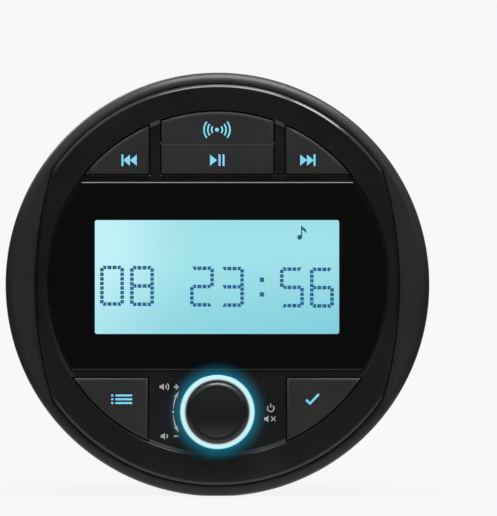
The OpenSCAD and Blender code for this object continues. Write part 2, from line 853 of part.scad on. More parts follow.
module volume_knob() {
    chord = knob_r - knob_round;
    dish_r = (chord * chord + knob_dish * knob_dish) / (2 * knob_dish);
    roof = bush_top + push_room - z_knob;
    color("#17181a") upright() translate(knob_at) difference() {
        translate([0, 0, z_knob]) rotate_extrude() difference() {
            round_section(knob_r, knob_len, knob_round);
            translate([0, knob_len + dish_r - knob_dish]) circle(dish_r, $fn = 360);
            translate([0, -over]) square([knob_r - knob_wall, roof + over]);
        }
        flatted(shaft_r + thread_gap, z_knob, shaft_top + thread_gap - z_knob);
    }
}

module light_ring() {
    color("#cdeffc") upright() translate(knob_at) {
        tube(glow_flange_r, bush_r + pass_gap, z_glow, glow_flange_t);
        tube(glow_r, glow_ri, z_plate, floor_t + glow_rise);
    }
}

module ring_leds() {
    lamp_gap = 1;
    reach = enc_w / 2 + lamp_size[1] / 2 + lamp_gap;
    color("#f4f4d8") upright() translate(knob_at) for (a = [0, 90, 180, 270])
        rotate(a) block(lamp_size[0], lamp_size[1], z_front, lamp_size[2], [0, reach]);
}

module housing() {
    ledge_r = skirt_ri - ledge_w;
    color("#232426") upright() difference() {
        union() {
            rotate_extrude() polygon([
                [can_ri, z_can], [can_r, z_can], [can_r, z_gasket], [skirt_r, z_gasket],
                [skirt_r, z_skirt], [skirt_ri, z_skirt], [skirt_ri, z_board],
                [ledge_r, z_board], [ledge_r, z_flange], [can_ri, z_flange]]);
            each_at(front_posts) disc(front_head[0] + head_wall, z_gasket, z_post - z_gasket);
            each_at(board_screws_at) disc(board_boss_r, z_gasket, z_board - z_gasket);
            each_at(rear_screws_at) disc(rear_boss_r, z_can, rear_boss_len);
        }
        tube(skirt_r - (skirt_t - seal_w) / 2, skirt_r - (skirt_t + seal_w) / 2,
             z_skirt - seal_d, seal_d + over);
        each_at(front_posts) {
            disc(front_head[0] + pass_gap, z_gasket - over, front_head[1] + pass_gap + over);
            disc(front_screw_r + pass_gap, z_gasket, z_post);
        }
        each_at(board_screws_at)
            disc(board_screw_r + thread_gap, z_flange, z_board);
        each_at(rear_screws_at) disc(rear_screw_r + thread_gap, z_can - over, rear_boss_len);
    }
}

module face_seal() {
    color("#101010") upright() tube(skirt_r - (skirt_t - seal_w) / 2 - thread_gap,
        skirt_r - (skirt_t + seal_w) / 2 + thread_gap, z_skirt - seal_d, seal_d);
}

module panel_gasket() {
    color("#151515") upright() tube(ring_r - gasket_inset, can_r + gasket_gap, 0, gasket_t);
}

module main_board() {
    color("#1f5a34") upright() difference() {
        disc(main_board_r, z_main_back, board_t);
        each_at(rear_screws_at)
            disc(rear_boss_r + pass_gap, z_main_back - over, board_t + 2 * over);
        each_at(main_posts_at) disc(board_screw_r + pass_gap, z_main_back - over, board_t + 2 * over);
    }
}

module main_board_screws() {
    color("#b9bcc0") upright() each_at(main_posts_at)
        screw_down(board_screw_r, board_head, z_main, board_t + board_grip);
}

module tuner_module() {
    color("#c2c4c2") upright() edged_slab(
        tuner_at[0] - tuner_size[0] / 2, tuner_at[0] + tuner_size[0] / 2,
        tuner_at[1] - tuner_size[1] / 2, tuner_at[1] + tuner_size[1] / 2,
        z_main, z_main + tuner_size[2], key_edge);
}

module filter_capacitors() {
    color("#24304c") upright() each_at(caps_at) translate([0, 0, z_main])
        rotate_extrude() round_section(cap_r, cap_len, cap_round);
}

module amp_chip() {
    color("#1b1b1d") upright()
        block(amp_size[0], amp_size[1], z_main_back - amp_size[2], amp_size[2], [0, amp_y]);
}

module thermal_pad() {
    color("#9fb4c4") upright()
        block(amp_size[0], amp_size[1], z_main_back - amp_size[2] - pad_t, pad_t, [0, amp_y]);
}

// Quarter of a flat ring, the ribbon's bend, as a flat shape.
module bend() {
    intersection() {
        difference() {
            circle(bend_r + ribbon_t / 2);
            circle(bend_r - ribbon_t / 2);
        }
        square(2 * bend_r);
    }
}

module ribbon_cable() {
    color("#d8d4c4") upright() rotate([90, 0, 90]) translate([0, 0, -ribbon_w / 2])
        linear_extrude(ribbon_w) {
            translate([main_socket_y - ribbon_t / 2, z_ribbon_low])
                square([ribbon_t, ribbon_straight]);
            translate([0, z_ribbon_low + ribbon_straight]) mirror([1, 0]) bend();
            translate([0, z_ribbon_high - ribbon_straight]) mirror([0, 1]) bend();
            translate([-main_socket_y - ribbon_t / 2, z_ribbon_high - ribbon_straight])
                square([ribbon_t, ribbon_straight]);
        }
}

module ribbon_sockets() {
    side_wall = 1;
    w = ribbon_w + 2 * side_wall;
    color("#ece8dc") upright() {
        block(w, ribbon_socket[0], z_main, ribbon_socket[1], [0, main_socket_y]);
        block(w, ribbon_socket[0], z_ribbon_high, ribbon_socket[1], [0, -main_socket_y]);
    }
}

module rear_cover() {
    fin_n = floor((can_r - fin_t) / fin_pitch);
    fin_inset = 1;
    spigot_r = can_ri - pass_gap;
    spigot_t = 1.5;
    spigot_h = 1;
    amp_boss_z = z_main_back - amp_size[2] - pad_t;
    color("#2a2b2d") upright() difference() {
        union() {
            disc(can_r, z_rear, cover_t);
            difference() {
                tube(spigot_r, spigot_r - spigot_t, z_cover, back_seal_t + spigot_h);
                each_at(rear_screws_at)
                    disc(rear_boss_r + pass_gap, z_cover + back_seal_t, spigot_h + over);
            }
            each_at(rear_screws_at) disc(rear_boss_r, z_cover, back_seal_t);
            each_at(main_posts_at) disc(main_post_r, z_cover, z_main_back - z_cover);
            block(amp_size[0], amp_size[1], z_cover, amp_boss_z - z_cover, [0, amp_y]);
            intersection() {
                disc(can_r - fin_inset, z_rear - fin_h, fin_h);
                for (i = [-fin_n : fin_n])
                    slab(i * fin_pitch - fin_t / 2, i * fin_pitch + fin_t / 2,
                         channel_half, can_r, z_rear - fin_h, fin_h);
            }
        }
        each_at(rear_screws_at) {
            disc(rear_head[0] + head_wall, z_rear - fin_h - over, fin_h + over);
            disc(rear_screw_r + pass_gap, z_rear - over, cover_t + back_seal_t + 2 * over);
        }
        each_at(main_posts_at)
            disc(board_screw_r + thread_gap, z_main_back - board_grip - tip_room,
                 board_grip + tip_room + over);
        block(harness_size[0] + 2 * pass_gap, harness_size[1] + 2 * pass_gap, z_rear - over,
              cover_t + 4 * over, [0, -harness_drop]);
        for (side = [-1, 1]) translate([side * stud_x, 0, 0])
            disc(stud_r + thread_gap, z_rear - over, cover_t + 2 * over);
        each_at([left_jack_at, right_jack_at])
            disc(jack_stem_r + thread_gap, z_rear - over, cover_t + 2 * over);
        translate(antenna_at) disc(jack_stem_r + thread_gap, z_rear - over, cover_t + 2 * over);
    }
}

module rear_seal() {
    color("#101010") upright() difference() {
        tube(can_r - pass_gap, can_ri, z_cover, back_seal_t);
        each_at(rear_screws_at) disc(rear_boss_r + pass_gap, z_cover - over, back_seal_t + 2 * over);
    }
}

module rear_screws() {
    color("#b9bcc0") upright() each_at(rear_screws_at)
        screw_up(rear_screw_r, rear_head, z_rear, cover_t + back_seal_t + rear_boss_len - over - tip_room);
}

// Places of the pins in the harness socket.
harness_step = (harness_size[0] - 4 * harness_wall) / harness_cols;
harness_places = [for (i = [0 : harness_cols - 1], side = [-1, 1])
    [(i - (harness_cols - 1) / 2) * harness_step, -harness_drop + side * harness_size[1] / 6]];
z_harness = z_rear - harness_len;

module harness_socket() {
    color("#ddd8c8") upright() difference() {
        block(harness_size[0], harness_size[1], z_harness, z_main_back - z_harness,
              [0, -harness_drop]);
        block(harness_size[0] - 2 * harness_wall, harness_size[1] - 2 * harness_wall,
              z_harness - over, harness_len + over, [0, -harness_drop]);
        each_at(harness_places) block(harness_pin + 2 * thread_gap, harness_pin + 2 * thread_gap,
                                      z_rear - over, z_main_back - z_rear + 2 * over);
    }
}

module harness_pins() {
    color("#d0b060") upright() each_at(harness_places)
        block(harness_pin, harness_pin, z_harness + harness_mouth,
              z_main_back - z_harness - harness_mouth);
}

// Turned socket shell on the rear cover: a stem through it, a seat for the insulator, a bore.
module socket_shell(r, bore, len, flange, seat_d) {
    seat_r = bore - seat_step;
    translate([0, 0, z_rear]) mirror([0, 0, 1]) rotate_extrude() polygon([
        [0, -cover_t - stem_tail], [jack_stem_r, -cover_t - stem_tail], [jack_stem_r, 0],
        [flange[0], 0],
        [flange[0], flange[1]], [r, flange[1]], [r, len], [bore, len], [bore, flange[1] + seat_d],
        [seat_r, flange[1] + seat_d], [seat_r, flange[1]], [0, flange[1]]]);
}

// Insulator in its seat at the foot of a socket, with the hole for the plug's pin.
module socket_insulator(bore, flange, len) {
    tube(bore - seat_step - thread_gap, contact_r, z_rear - flange[1] - len, len);
}

module jack_shells() {
    color("#c8b27a") upright() each_at([left_jack_at, right_jack_at])
        socket_shell(jack_r, jack_bore, jack_len, jack_flange, jack_seat);
}

module left_jack_insulator() {
    color("#f2f2f0") upright() translate(left_jack_at)
        socket_insulator(jack_bore, jack_flange, jack_seat);
}

module right_jack_insulator() {
    color("#b81f24") upright() translate(right_jack_at)
        socket_insulator(jack_bore, jack_flange, jack_seat);
}

module antenna_socket() {
    color("#c9cccf") upright() translate(antenna_at)
        socket_shell(antenna_r, antenna_bore, antenna_len, antenna_flange, insulator_t);
}

module antenna_insulator() {
    color("#1a1a1a") upright() translate(antenna_at)
        socket_insulator(antenna_bore, antenna_flange, insulator_t);
}

module mounting_studs() {
    head_r = 4.5;
    head_t = 1.6;
    color("#c9cccf") upright() for (side = [-1, 1]) translate([side * stud_x, 0, 0]) {
        disc(stud_r, z_stud_end, z_cover - z_stud_end);
        disc(head_r, z_cover, head_t);
    }
}

module mounting_bracket() {
    back = z_strap - strap_t;
    color("#bfc2c5") upright() difference() {
        union() {
            block(2 * (leg_x + strap_t), strap_w, back, strap_t);
            for (side = [0, 1]) mirror([side, 0, 0]) {
                slab(leg_x, leg_x + strap_t, -strap_w / 2, strap_w / 2, back, -dash_t - back);
                slab(leg_x, foot_x, -strap_w / 2, strap_w / 2, -dash_t - strap_t, strap_t);
            }
        }
        for (side = [-1, 1]) translate([side * stud_x, 0, 0])
            disc(stud_r + pass_gap, back - over, strap_t + 2 * over);
    }
}

module bracket_washers() {
    color("#c9cccf") upright() for (side = [-1, 1]) translate([side * stud_x, 0, 0])
        tube(washer_r, stud_r + pass_gap, z_nut, washer_t);
}

// Thumb nut on a stud, with a smooth collar towards the washer.
module thumb_nut(side) {
    collar = 2;
    collar_step = 1;
    scallop_r = 0.9;
    scallop_out = 0.35;
    color("#b8a26a") upright() translate([side * stud_x, 0, 0]) difference() {
        union() {
            disc(nut_r - collar_step, z_nut - collar, collar);
            disc(nut_r, z_nut - nut_len, nut_len - collar);
        }
        disc(stud_r + nut_gap, z_nut - nut_len - over, nut_len + 2 * over);
        for (i = [1 : nut_scallops]) rotate(i * 360 / nut_scallops)
            translate([nut_r + scallop_out, 0, 0])
                disc(scallop_r, z_nut - nut_len - over, nut_len - collar + over);
    }
}

module left_thumb_nut() {
    thumb_nut(-1);
}

module right_thumb_nut() {
    thumb_nut(1);
}

trim_ring();
faceplate();
display_lens();
lcd_glass();
lcd_frame();
backlight_guide();
backlight_leds();
contact_strips();
front_board();
front_board_screws();
front_screws();
prev_button();
rocker_key();
next_button();
mode_button();
select_button();
keypad_top();
keypad_bottom();
prev_pill();
rocker_pills();
next_pill();
mode_pill();
select_pill();
encoder_body();
encoder_rotor();
encoder_shaft();
volume_knob();
light_ring();
ring_leds();
housing();
face_seal();
panel_gasket();
main_board();
main_board_screws();
tuner_module();
filter_capacitors();
amp_chip();
thermal_pad();
ribbon_cable();
ribbon_sockets();
rear_cover();
rear_seal();
rear_screws();
harness_socket();
harness_pins();
jack_shells();
left_jack_insulator();
right_jack_insulator();
antenna_socket();
antenna_insulator();
mounting_studs();
mounting_bracket();
bracket_washers();
left_thumb_nut();
right_thumb_nut();
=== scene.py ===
"""Marine stereo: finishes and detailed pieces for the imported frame.

Pieces are drawn in the face frame, in millimetres: x right, y up, z out of the face, with
z = 0 on the dash. UPRIGHT then stands them up in metres, with the face looking along -Y.
"""

import logging
import math
from abc import ABC, abstractmethod
from collections.abc import Callable, Iterable, Sequence
from dataclasses import dataclass, field
from enum import Enum, IntEnum
from typing import Protocol

import bmesh
import bpy
from mathutils import Matrix, Vector


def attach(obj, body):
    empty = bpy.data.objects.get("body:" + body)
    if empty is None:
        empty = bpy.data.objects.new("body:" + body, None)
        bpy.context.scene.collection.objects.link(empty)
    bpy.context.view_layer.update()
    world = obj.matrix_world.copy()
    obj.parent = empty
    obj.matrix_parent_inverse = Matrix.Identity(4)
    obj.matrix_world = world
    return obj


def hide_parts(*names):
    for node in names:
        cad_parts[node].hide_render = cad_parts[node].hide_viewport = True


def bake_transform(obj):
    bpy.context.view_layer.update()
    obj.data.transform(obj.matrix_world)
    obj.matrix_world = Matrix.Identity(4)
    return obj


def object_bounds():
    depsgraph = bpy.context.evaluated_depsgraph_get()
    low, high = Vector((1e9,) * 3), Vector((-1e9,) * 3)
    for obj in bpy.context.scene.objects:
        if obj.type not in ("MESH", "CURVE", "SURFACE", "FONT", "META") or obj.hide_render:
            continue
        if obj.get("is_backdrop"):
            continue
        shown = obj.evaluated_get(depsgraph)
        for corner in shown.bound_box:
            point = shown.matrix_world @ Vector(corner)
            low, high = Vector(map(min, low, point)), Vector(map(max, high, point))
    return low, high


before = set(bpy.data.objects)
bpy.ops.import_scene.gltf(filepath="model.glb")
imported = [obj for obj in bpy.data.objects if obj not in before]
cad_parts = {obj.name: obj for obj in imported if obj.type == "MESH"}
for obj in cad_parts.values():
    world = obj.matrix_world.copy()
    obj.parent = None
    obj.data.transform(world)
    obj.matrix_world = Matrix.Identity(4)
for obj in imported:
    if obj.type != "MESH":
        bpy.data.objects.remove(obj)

log = logging.getLogger("stereo")

# Lengths are in millimetres unless a line says metres, and angles in degrees.
MM = 0.001  # in metres
STEPS = 288  # edges round a large outline
MERGE = 1e-4  # points this close are one
TOUCH = 0.01  # heights this close are the same
NEAR = 0.05  # room for a face's middle on either side of a limit
SQUARE_TURN = 60.0  # an edge that turns by more bounds a block
UPRIGHT = Matrix.Rotation(math.pi / 2, 4, "X") @ Matrix.Scale(MM, 4)
UP = (0.0, 0.0, 1.0)
ORIGIN = (0.0, 0.0)
KNOB = (0.0, -32.0)
FACE_CENTRE = (0.0, 0.3)

Point = tuple[float, float]
Box = tuple[float, float, float, float]
Colour = tuple[float, float, float]
Socket = bpy.types.NodeSocket
Outputs = bpy.types.bpy_prop_collection
Feeds = dict[str, object]
Verts = list[bmesh.types.BMVert]
Edges = list[bmesh.types.BMEdge]


class Body(Enum):
    """Moving bodies of the frame that pieces ride on."""

    STEREO = "stereo"
    PREV = "prev_key"
    ROCKER = "rocker"
    NEXT = "next_key"
    MODE = "mode_key"
    SELECT = "select_key"
    KNOB = "knob"
    BRACKET = "bracket"
    LEFT_NUT = "left_nut"
    RIGHT_NUT = "right_nut"


def srgb(*levels: int) -> Colour:
    """Turns 8-bit screen values into the linear colour that a shader takes.

    Args:
        levels: red, green and blue, 0 to 255.

    Returns:
        The linear colour.
    """
    shares = [level / 255 for level in levels]
    return tuple(v / 12.92 if v <= 0.04045 else ((v + 0.055) / 1.055) ** 2.4 for v in shares)


def opaque(colour: Colour) -> tuple[float, ...]:
    """Gives a colour its full alpha."""
    return (*colour, 1.0)


# Shared effects: node groups that are built once and placed in each finish.


class Nodes:
    """Adds and joins nodes in one tree."""

    def __init__(self, tree: bpy.types.NodeTree) -> None:
        """Starts with an empty tree."""
        self.tree = tree
        tree.nodes.clear()

    def feed(self, target: Socket, value: object) -> None:
        """Gives an input its link or its own value.

        Args:
            target: the input.
            value: an output to link to it, or its value.
        """
        if isinstance(value, Socket):
            self.tree.links.new(value, target)
        else:
            target.default_value = value

    def add(self, kind: str, settings: Feeds | None = None, **feeds: object) -> bpy.types.Node:
        """Adds a node.

        Args:
            kind: the node's type name without its ShaderNode prefix.
            settings: attributes of the node itself.
            feeds: links or values of its inputs, with underscores for spaces.

        Returns:
            The node.
        """
        prefix = "" if kind.startswith("NodeGroup") else "ShaderNode"
        node = self.tree.nodes.new(prefix + kind)
        for key, value in (settings or {}).items():
            setattr(node, key, value)
        for key, value in feeds.items():
            self.feed(node.inputs[key.replace("_", " ")], value)
        return node

    def group(self, effect: "Effect", **feeds: object) -> Outputs:
        """Places a shared effect and gives its outputs."""
        return self.add("Group", {"node_tree": effect.tree()}, **feeds).outputs

    def calc(self, operation: str, *values: object) -> Socket:
        """Adds a Math node.

        Args:
            operation: what it does.
            values: links or values of its inputs, in order.

        Returns:
            Its result.
        """
        node = self.add("Math", {"operation": operation})
        for target, value in zip(node.inputs, values):
            self.feed(target, value)
        return node.outputs[0]

    def ranged(self, value: Socket, source: Point, target: Point = (0.0, 1.0),
               smooth: bool = False) -> Socket:
        """Maps one range of values onto another, held at its ends.

        Args:
            value: what is mapped.
            source: the range that it has.
            target: the range that it gets.
            smooth: whether it eases in and out.

        Returns:
            The mapped value.
        """
        kind = "SMOOTHSTEP" if smooth else "LINEAR"
        node = self.add("MapRange", {"interpolation_type": kind}, Value=value, From_Min=source[0],
                        From_Max=source[1], To_Min=target[0], To_Max=target[1])
        return node.outputs["Result"]

    def mixed(self, share: Socket, first: object, second: object) -> Socket:
        """Mixes two colours.

        Args:
            share: the second one's share.
            first: a link or a colour.
            second: a link or a colour.

        Returns:
            The mixed colour.
        """
        node = self.add("Mix", {"data_type": "RGBA"})
        for index, value in ((0, share), (6, first), (7, second)):
            self.feed(node.inputs[index], value)
        return node.outputs[2]

    def scaled(self, vector: Socket, factor: Socket) -> Socket:
        """Multiplies a colour or a vector by a factor."""
        node = self.add("VectorMath", {"operation": "SCALE"}, Vector=vector, Scale=factor)
        return node.outputs["Vector"]

    def length(self, vector: Socket) -> Socket:
        """Measures a vector."""
        return self.add("VectorMath", {"operation": "LENGTH"}, Vector=vector).outputs["Value"]

    def bump(self, height: Socket, strength: float, distance: float) -> Socket:
        """Turns a height into a bumped normal."""
        node = self.add("Bump", Height=height, Strength=strength, Distance=distance)
        return node.outputs["Normal"]

    def from_knob(self, place: Socket) -> Socket:
        """Measures how far a place on the face is from the knob's axis.

        Args:
            place: Object coordinates.

        Returns:
            The distance in metres.
        """
        centred = self.add("Mapping", Vector=place, Location=(0.0, 0.0, -KNOB[1] * MM),
                           Scale=(1.0, 0.0, 1.0))
        return self.length(centred.outputs["Vector"])


class Effect(Enum):
    """Surface effects that several finishes share."""

    GRAIN = "moulded_grain"
    TINT = "tint_spread"
    STREAK = "drawn_streaks"
    SPECK = "dust_specks"
    HALO = "ring_halo"

    def tree(self) -> bpy.types.NodeTree:
        """Gives the effect's node group, made at its first use.

        Returns:
            The group's tree.
        """
        known = bpy.data.node_groups.get(self.value)
        if known:
            return known
        tree = bpy.data.node_groups.new(self.value, "ShaderNodeTree")
        maker, inputs, outputs = MAKERS[self]
        for in_out, names in (("INPUT", inputs), ("OUTPUT", outputs)):
            for name in names:
                kind = "NodeSocket" + SOCKET_KINDS.get(name, "Float")
                tree.interface.new_socket(name, in_out=in_out, socket_type=kind)
        n = Nodes(tree)
        start, end = n.add("NodeGroupInput"), n.add("NodeGroupOutput")
        for name, value in maker(n, start.outputs).items():
            n.feed(end.inputs[name], value)
        return tree


def _grain(n: Nodes, given: Outputs) -> Feeds:
    """Fine moulded grain with a broad mottle over it.

    Args:
        n: the group's nodes.
        given: the group's inputs.

    Returns:
        What the group gives, by name.
    """
    place, fineness = given["Vector"], given["Grain"]
    cell = n.add("TexVoronoi", {"feature": "SMOOTH_F1"}, Vector=place, Scale=fineness,
                 Smoothness=0.6)
    fine = n.add("TexNoise", Vector=place, Scale=fineness, Detail=2.0, Roughness=0.6)
    broad = n.add("TexNoise", Vector=place, Scale=given["Mottle"], Detail=3.0, Roughness=0.55)
    height = n.calc("MULTIPLY_ADD", fine.outputs["Fac"], 0.6, cell.outputs["Distance"])
    return {"Height": height, "Spread": broad.outputs["Fac"]}


def _tint(n: Nodes, given: Outputs) -> Feeds:
    """Spreads a colour a little darker and lighter, and lightens rounded rims, partly as wear and
    partly as a painted highlight.

    Args:
        n: the group's nodes.
        given: the group's inputs.

    Returns:
        What the group gives, by name.
    """
    spread = n.calc("MULTIPLY", n.calc("SUBTRACT", given["Spread"], 0.5), given["Amount"])
    # Rounded rims are lightened: partly wear, partly a painted highlight.
    rim = n.add("Attribute", {"attribute_name": "rim"}).outputs["Fac"]
    worn = n.calc("MULTIPLY_ADD", rim, given["Rim Gain"], spread)
    return {"Color": n.scaled(given["Color"], n.calc("ADD", worn, 1.0))}


def _streak(n: Nodes, given: Outputs) -> Feeds:
    """Fine lines drawn along one direction, as on rolled or turned metal.

    Args:
        n: the group's nodes.
        given: the group's inputs.

    Returns:
        What the group gives, by name.
    """
    pull = n.add("VectorMath", {"operation": "MULTIPLY"}, Vector=given["Vector"])
    n.feed(pull.inputs[1], given["Stretch"])
    line = n.add("TexNoise", Vector=pull.outputs["Vector"], Scale=1.0, Detail=4.0, Roughness=0.7)
    broad = n.add("TexNoise", Vector=given["Vector"], Scale=90.0, Detail=2.0)
    drawn = line.outputs["Fac"]
    return {"Height": drawn, "Streak": n.calc("MULTIPLY_ADD", drawn, 0.5, broad.outputs["Fac"])}


def _speck(n: Nodes, given: Outputs) -> Feeds:
    """Sparse specks and faint smears on polished surfaces.

    Args:
        n: the group's nodes.
        given: the group's inputs.

    Returns:
        What the group gives, by name.
    """
    place = given["Vector"]
    cell = n.add("TexVoronoi", Vector=place, Scale=given["Scale"], Randomness=1.0)
    smear = n.add("TexNoise", Vector=place, Scale=45.0, Detail=4.0, Roughness=0.65, Distortion=0.8)
    speck = n.ranged(cell.outputs["Distance"], (0.10, 0.04), smooth=True)
    return {"Speck": speck, "Smear": smear.outputs["Fac"]}


def _halo(n: Nodes, given: Outputs) -> Feeds:
    """Painted light: a glow in the surface's own emission that stands in for the light the lit ring
    sheds round it, fading outwards.
    """
    fade = n.ranged(n.from_knob(given["Vector"]), (0.0090, 0.0132), (1.0, 0.0))
    return {"Glow": n.scaled(given["Near"], n.calc("POWER", fade, 2.0))}


SOCKET_KINDS = {"Vector": "Vector", "Stretch": "Vector", "Color": "Color", "Near": "Color",
                "Glow": "Color"}
MAKERS: dict[Effect, tuple[Callable, Sequence[str], Sequence[str]]] = {
    Effect.GRAIN: (_grain, ("Vector", "Grain", "Mottle"), ("Height", "Spread")),
    Effect.TINT: (_tint, ("Color", "Spread", "Amount", "Rim Gain"), ("Color",)),
    Effect.STREAK: (_streak, ("Vector", "Stretch"), ("Height", "Streak")),
    Effect.SPECK: (_speck, ("Vector", "Scale"), ("Speck", "Smear")),
    Effect.HALO: (_halo, ("Vector", "Near"), ("Glow",)),
}


# Finishes


@dataclass(frozen=True)
class Finish(ABC):
    """A surface, whose material is made at its first use."""

    name: str

    @abstractmethod
    def feeds(self, n: Nodes, place: Socket) -> Feeds:
        """Adds the surface's nodes.

        Args:
            n: the material's nodes.
            place: Object coordinates.

        Returns:
            What the shader's inputs get, by name.
        """

    def material(self) -> bpy.types.Material:
        """Gives the material.

        Returns:
            The material, with a shader on Object coordinates.
        """
        known = bpy.data.materials.get(self.name)
        if known:
            return known
        mat = bpy.data.materials.new(self.name)
        mat.use_nodes = True
        n = Nodes(mat.node_tree)
        shader = n.add("BsdfPrincipled")
        n.add("OutputMaterial", Surface=shader.outputs["BSDF"])
        for name, value in self.feeds(n, n.add("TexCoord").outputs["Object"]).items():
            n.feed(shader.inputs[name], value)
        return mat


def ring_glow(n: Nodes, place: Socket, near: Colour | None) -> Feeds:
    """Paints the ring's light on a surface as an emitted glow.

    Args:
        n: the material's nodes.
        place: Object coordinates.
        near: the light's colour at the ring, or None for a surface out of its reach.

    Returns:
        What the shader's inputs get, by name.
    """
    if not near:
        return {}
    halo = n.group(Effect.HALO, Vector=place, Near=opaque(near))
    return {"Emission Color": halo["Glow"], "Emission Strength": 1.0}


@dataclass(frozen=True)
class Textured(Finish):
    """A surface with fine relief, whose colour and gloss vary and whose rounded rims are lighter,
    partly as wear and partly as a painted highlight.
    """

    colour: Colour
    rough: float
    rough_spread: float
    depth: float
    tint: float
    rim_gain: float

    def varied(self, n: Nodes, spread: Socket, height: Socket, span: Point, step: float) -> Feeds:
        """Feeds a spread into colour and gloss, and a height into the relief.

        Args:
            n: the material's nodes.
            spread: how the surface varies.
            height: its relief.
            span: the range of the spread that counts.
            step: the relief's depth in metres.

        Returns:
            What the shader's inputs get, by name.
        """
        half = self.rough_spread / 2
        tint = n.group(Effect.TINT, Color=opaque(self.colour), Spread=spread, Amount=self.tint,
                       Rim_Gain=self.rim_gain)
        return {"Base Color": tint["Color"],
                "Roughness": n.ranged(spread, span, (self.rough - half, self.rough + half)),
                "Normal": n.bump(height, self.depth, step)}


@dataclass(frozen=True)
class Moulded(Textured):
    """Moulded plastic, rubber or painted casting with grain, mottle and lighter rims, partly worn
    and partly a painted highlight.
    """

    rough: float = 0.45
    rough_spread: float = 0.12
    depth: float = 0.10
    tint: float = 0.25
    rim_gain: float = 0.35
    grain: float = 5200.0
    mottle: float = 60.0
    specular: float = 0.35
    halo: Colour | None = None

    def feeds(self, n: Nodes, place: Socket) -> Feeds:
        """Adds grain, and a painted glow of the ring's light where it falls."""
        grain = n.group(Effect.GRAIN, Vector=place, Grain=self.grain, Mottle=self.mottle)
        return {**self.varied(n, grain["Spread"], grain["Height"], (0.3, 0.7), 0.00006),
                "Specular IOR Level": self.specular, **ring_glow(n, place, self.halo)}


@dataclass(frozen=True)
class Metal(Textured):
    """Plain or plated metal with drawn lines and dulled patches."""

    rough: float = 0.3
    rough_spread: float = 0.2
    depth: float = 0.08
    tint: float = 0.18
    rim_gain: float = 0.25
    stretch: Colour = (400.0, 9000.0, 9000.0)

    def feeds(self, n: Nodes, place: Socket) -> Feeds:
        """Adds drawn lines."""
        streak = n.group(Effect.STREAK, Vector=place, Stretch=self.stretch)
        return {**self.varied(n, streak["Streak"], streak["Height"], (0.45, 1.0), 0.00004),
                "Metallic": 1.0}


@dataclass(frozen=True)
class Polished(Finish):
    """Polished dark plastic with specks, smears and a painted glow of the ring's light at its foot.
    """

    colour: Colour
    rough: float = 0.05
    smear: float = 0.05
    dust: float = 0.2
    specular: float = 0.5
    halo: Colour | None = None

    def feeds(self, n: Nodes, place: Socket) -> Feeds:
        """Adds specks, smears and a painted glow of the ring's light.

        Args:
            n: the material's nodes.
            place: Object coordinates.

        Returns:
            What the shader's inputs get, by name.
        """
        speck = n.group(Effect.SPECK, Vector=place, Scale=420.0)
        rough = n.ranged(speck["Smear"], (0.35, 0.75), (self.rough, self.rough + self.smear))
        # Rounded rims are lightened: partly wear, partly a painted highlight.
        tint = n.group(Effect.TINT, Color=opaque(self.colour), Spread=speck["Smear"], Amount=0.5,
                       Rim_Gain=0.3)
        return {"Base Color": tint["Color"],
                "Roughness": n.calc("MULTIPLY_ADD", speck["Speck"], self.dust, rough),
                "Specular IOR Level": self.specular, **ring_glow(n, place, self.halo)}


@dataclass(frozen=True)
class Clear(Finish):
    """Clear polished window with faint smears."""

    tint: Colour = (0.98, 0.99, 0.99)
    rough: float = 0.0
    smear: float = 0.02

    def feeds(self, n: Nodes, place: Socket) -> Feeds:
        """Adds smears."""
        smear = n.group(Effect.SPECK, Vector=place, Scale=500.0)["Smear"]
        return {"Base Color": opaque(self.tint), "Transmission Weight": 1.0, "IOR": 1.2,
                "Roughness": n.ranged(smear, (0.5, 0.9), (self.rough, self.rough + self.smear))}


@dataclass(frozen=True)
class LitPanel(Finish):
    """Backlit display panel: brightest at its left edge, dimmer at the lower right."""

    left: Colour
    middle: Colour
    low: Colour

    def feeds(self, n: Nodes, place: Socket) -> Feeds:
        """Adds the light's sweep across the panel and its fall at the lower right.

        Args:
            n: the material's nodes.
            place: Object coordinates.

        Returns:
            What the shader's inputs get, by name.
        """
        split = n.add("SeparateXYZ", Vector=place).outputs
        cloud = n.add("TexNoise", Vector=place, Scale=38.0, Detail=2.0, Distortion=0.6)
        wave = n.calc("MULTIPLY_ADD", cloud.outputs["Fac"], 0.008, split["X"])
        edge = n.ranged(wave, (-0.030, 0.002), smooth=True)
        across = n.ranged(wave, (-0.032, 0.032), (0.35, 1.0))
        down = n.ranged(split["Z"], (0.009, -0.013), smooth=True)
        sweep = n.mixed(edge, opaque(self.left), opaque(self.middle))
        deep = n.mixed(n.calc("MULTIPLY", across, down), sweep, opaque(self.low))
        return {"Base Color": (0.01, 0.02, 0.025, 1.0), "Emission Color": deep,
                "Emission Strength": 1.0, "Roughness": 0.5, "Specular IOR Level": 0.0}


@dataclass(frozen=True)
class LitPrint(Finish):
    """Translucent print that is lit from behind, a little uneven along its strokes."""

    colour: Colour
    glow: float = 0.5
    spread: float = 0.3

    def feeds(self, n: Nodes, place: Socket) -> Feeds:
        """Adds an uneven glow.

        Args:
            n: the material's nodes.
            place: Object coordinates.

        Returns:
            What the shader's inputs get, by name.
        """
        grain = n.group(Effect.GRAIN, Vector=place, Grain=3000.0, Mottle=700.0)
        tint = n.group(Effect.TINT, Color=opaque(self.colour), Spread=grain["Spread"],
                       Amount=self.spread, Rim_Gain=0.0)["Color"]
        return {"Base Color": tint, "Emission Color": tint, "Emission Strength": self.glow,
                "Roughness": 0.5, "Specular IOR Level": 0.2}


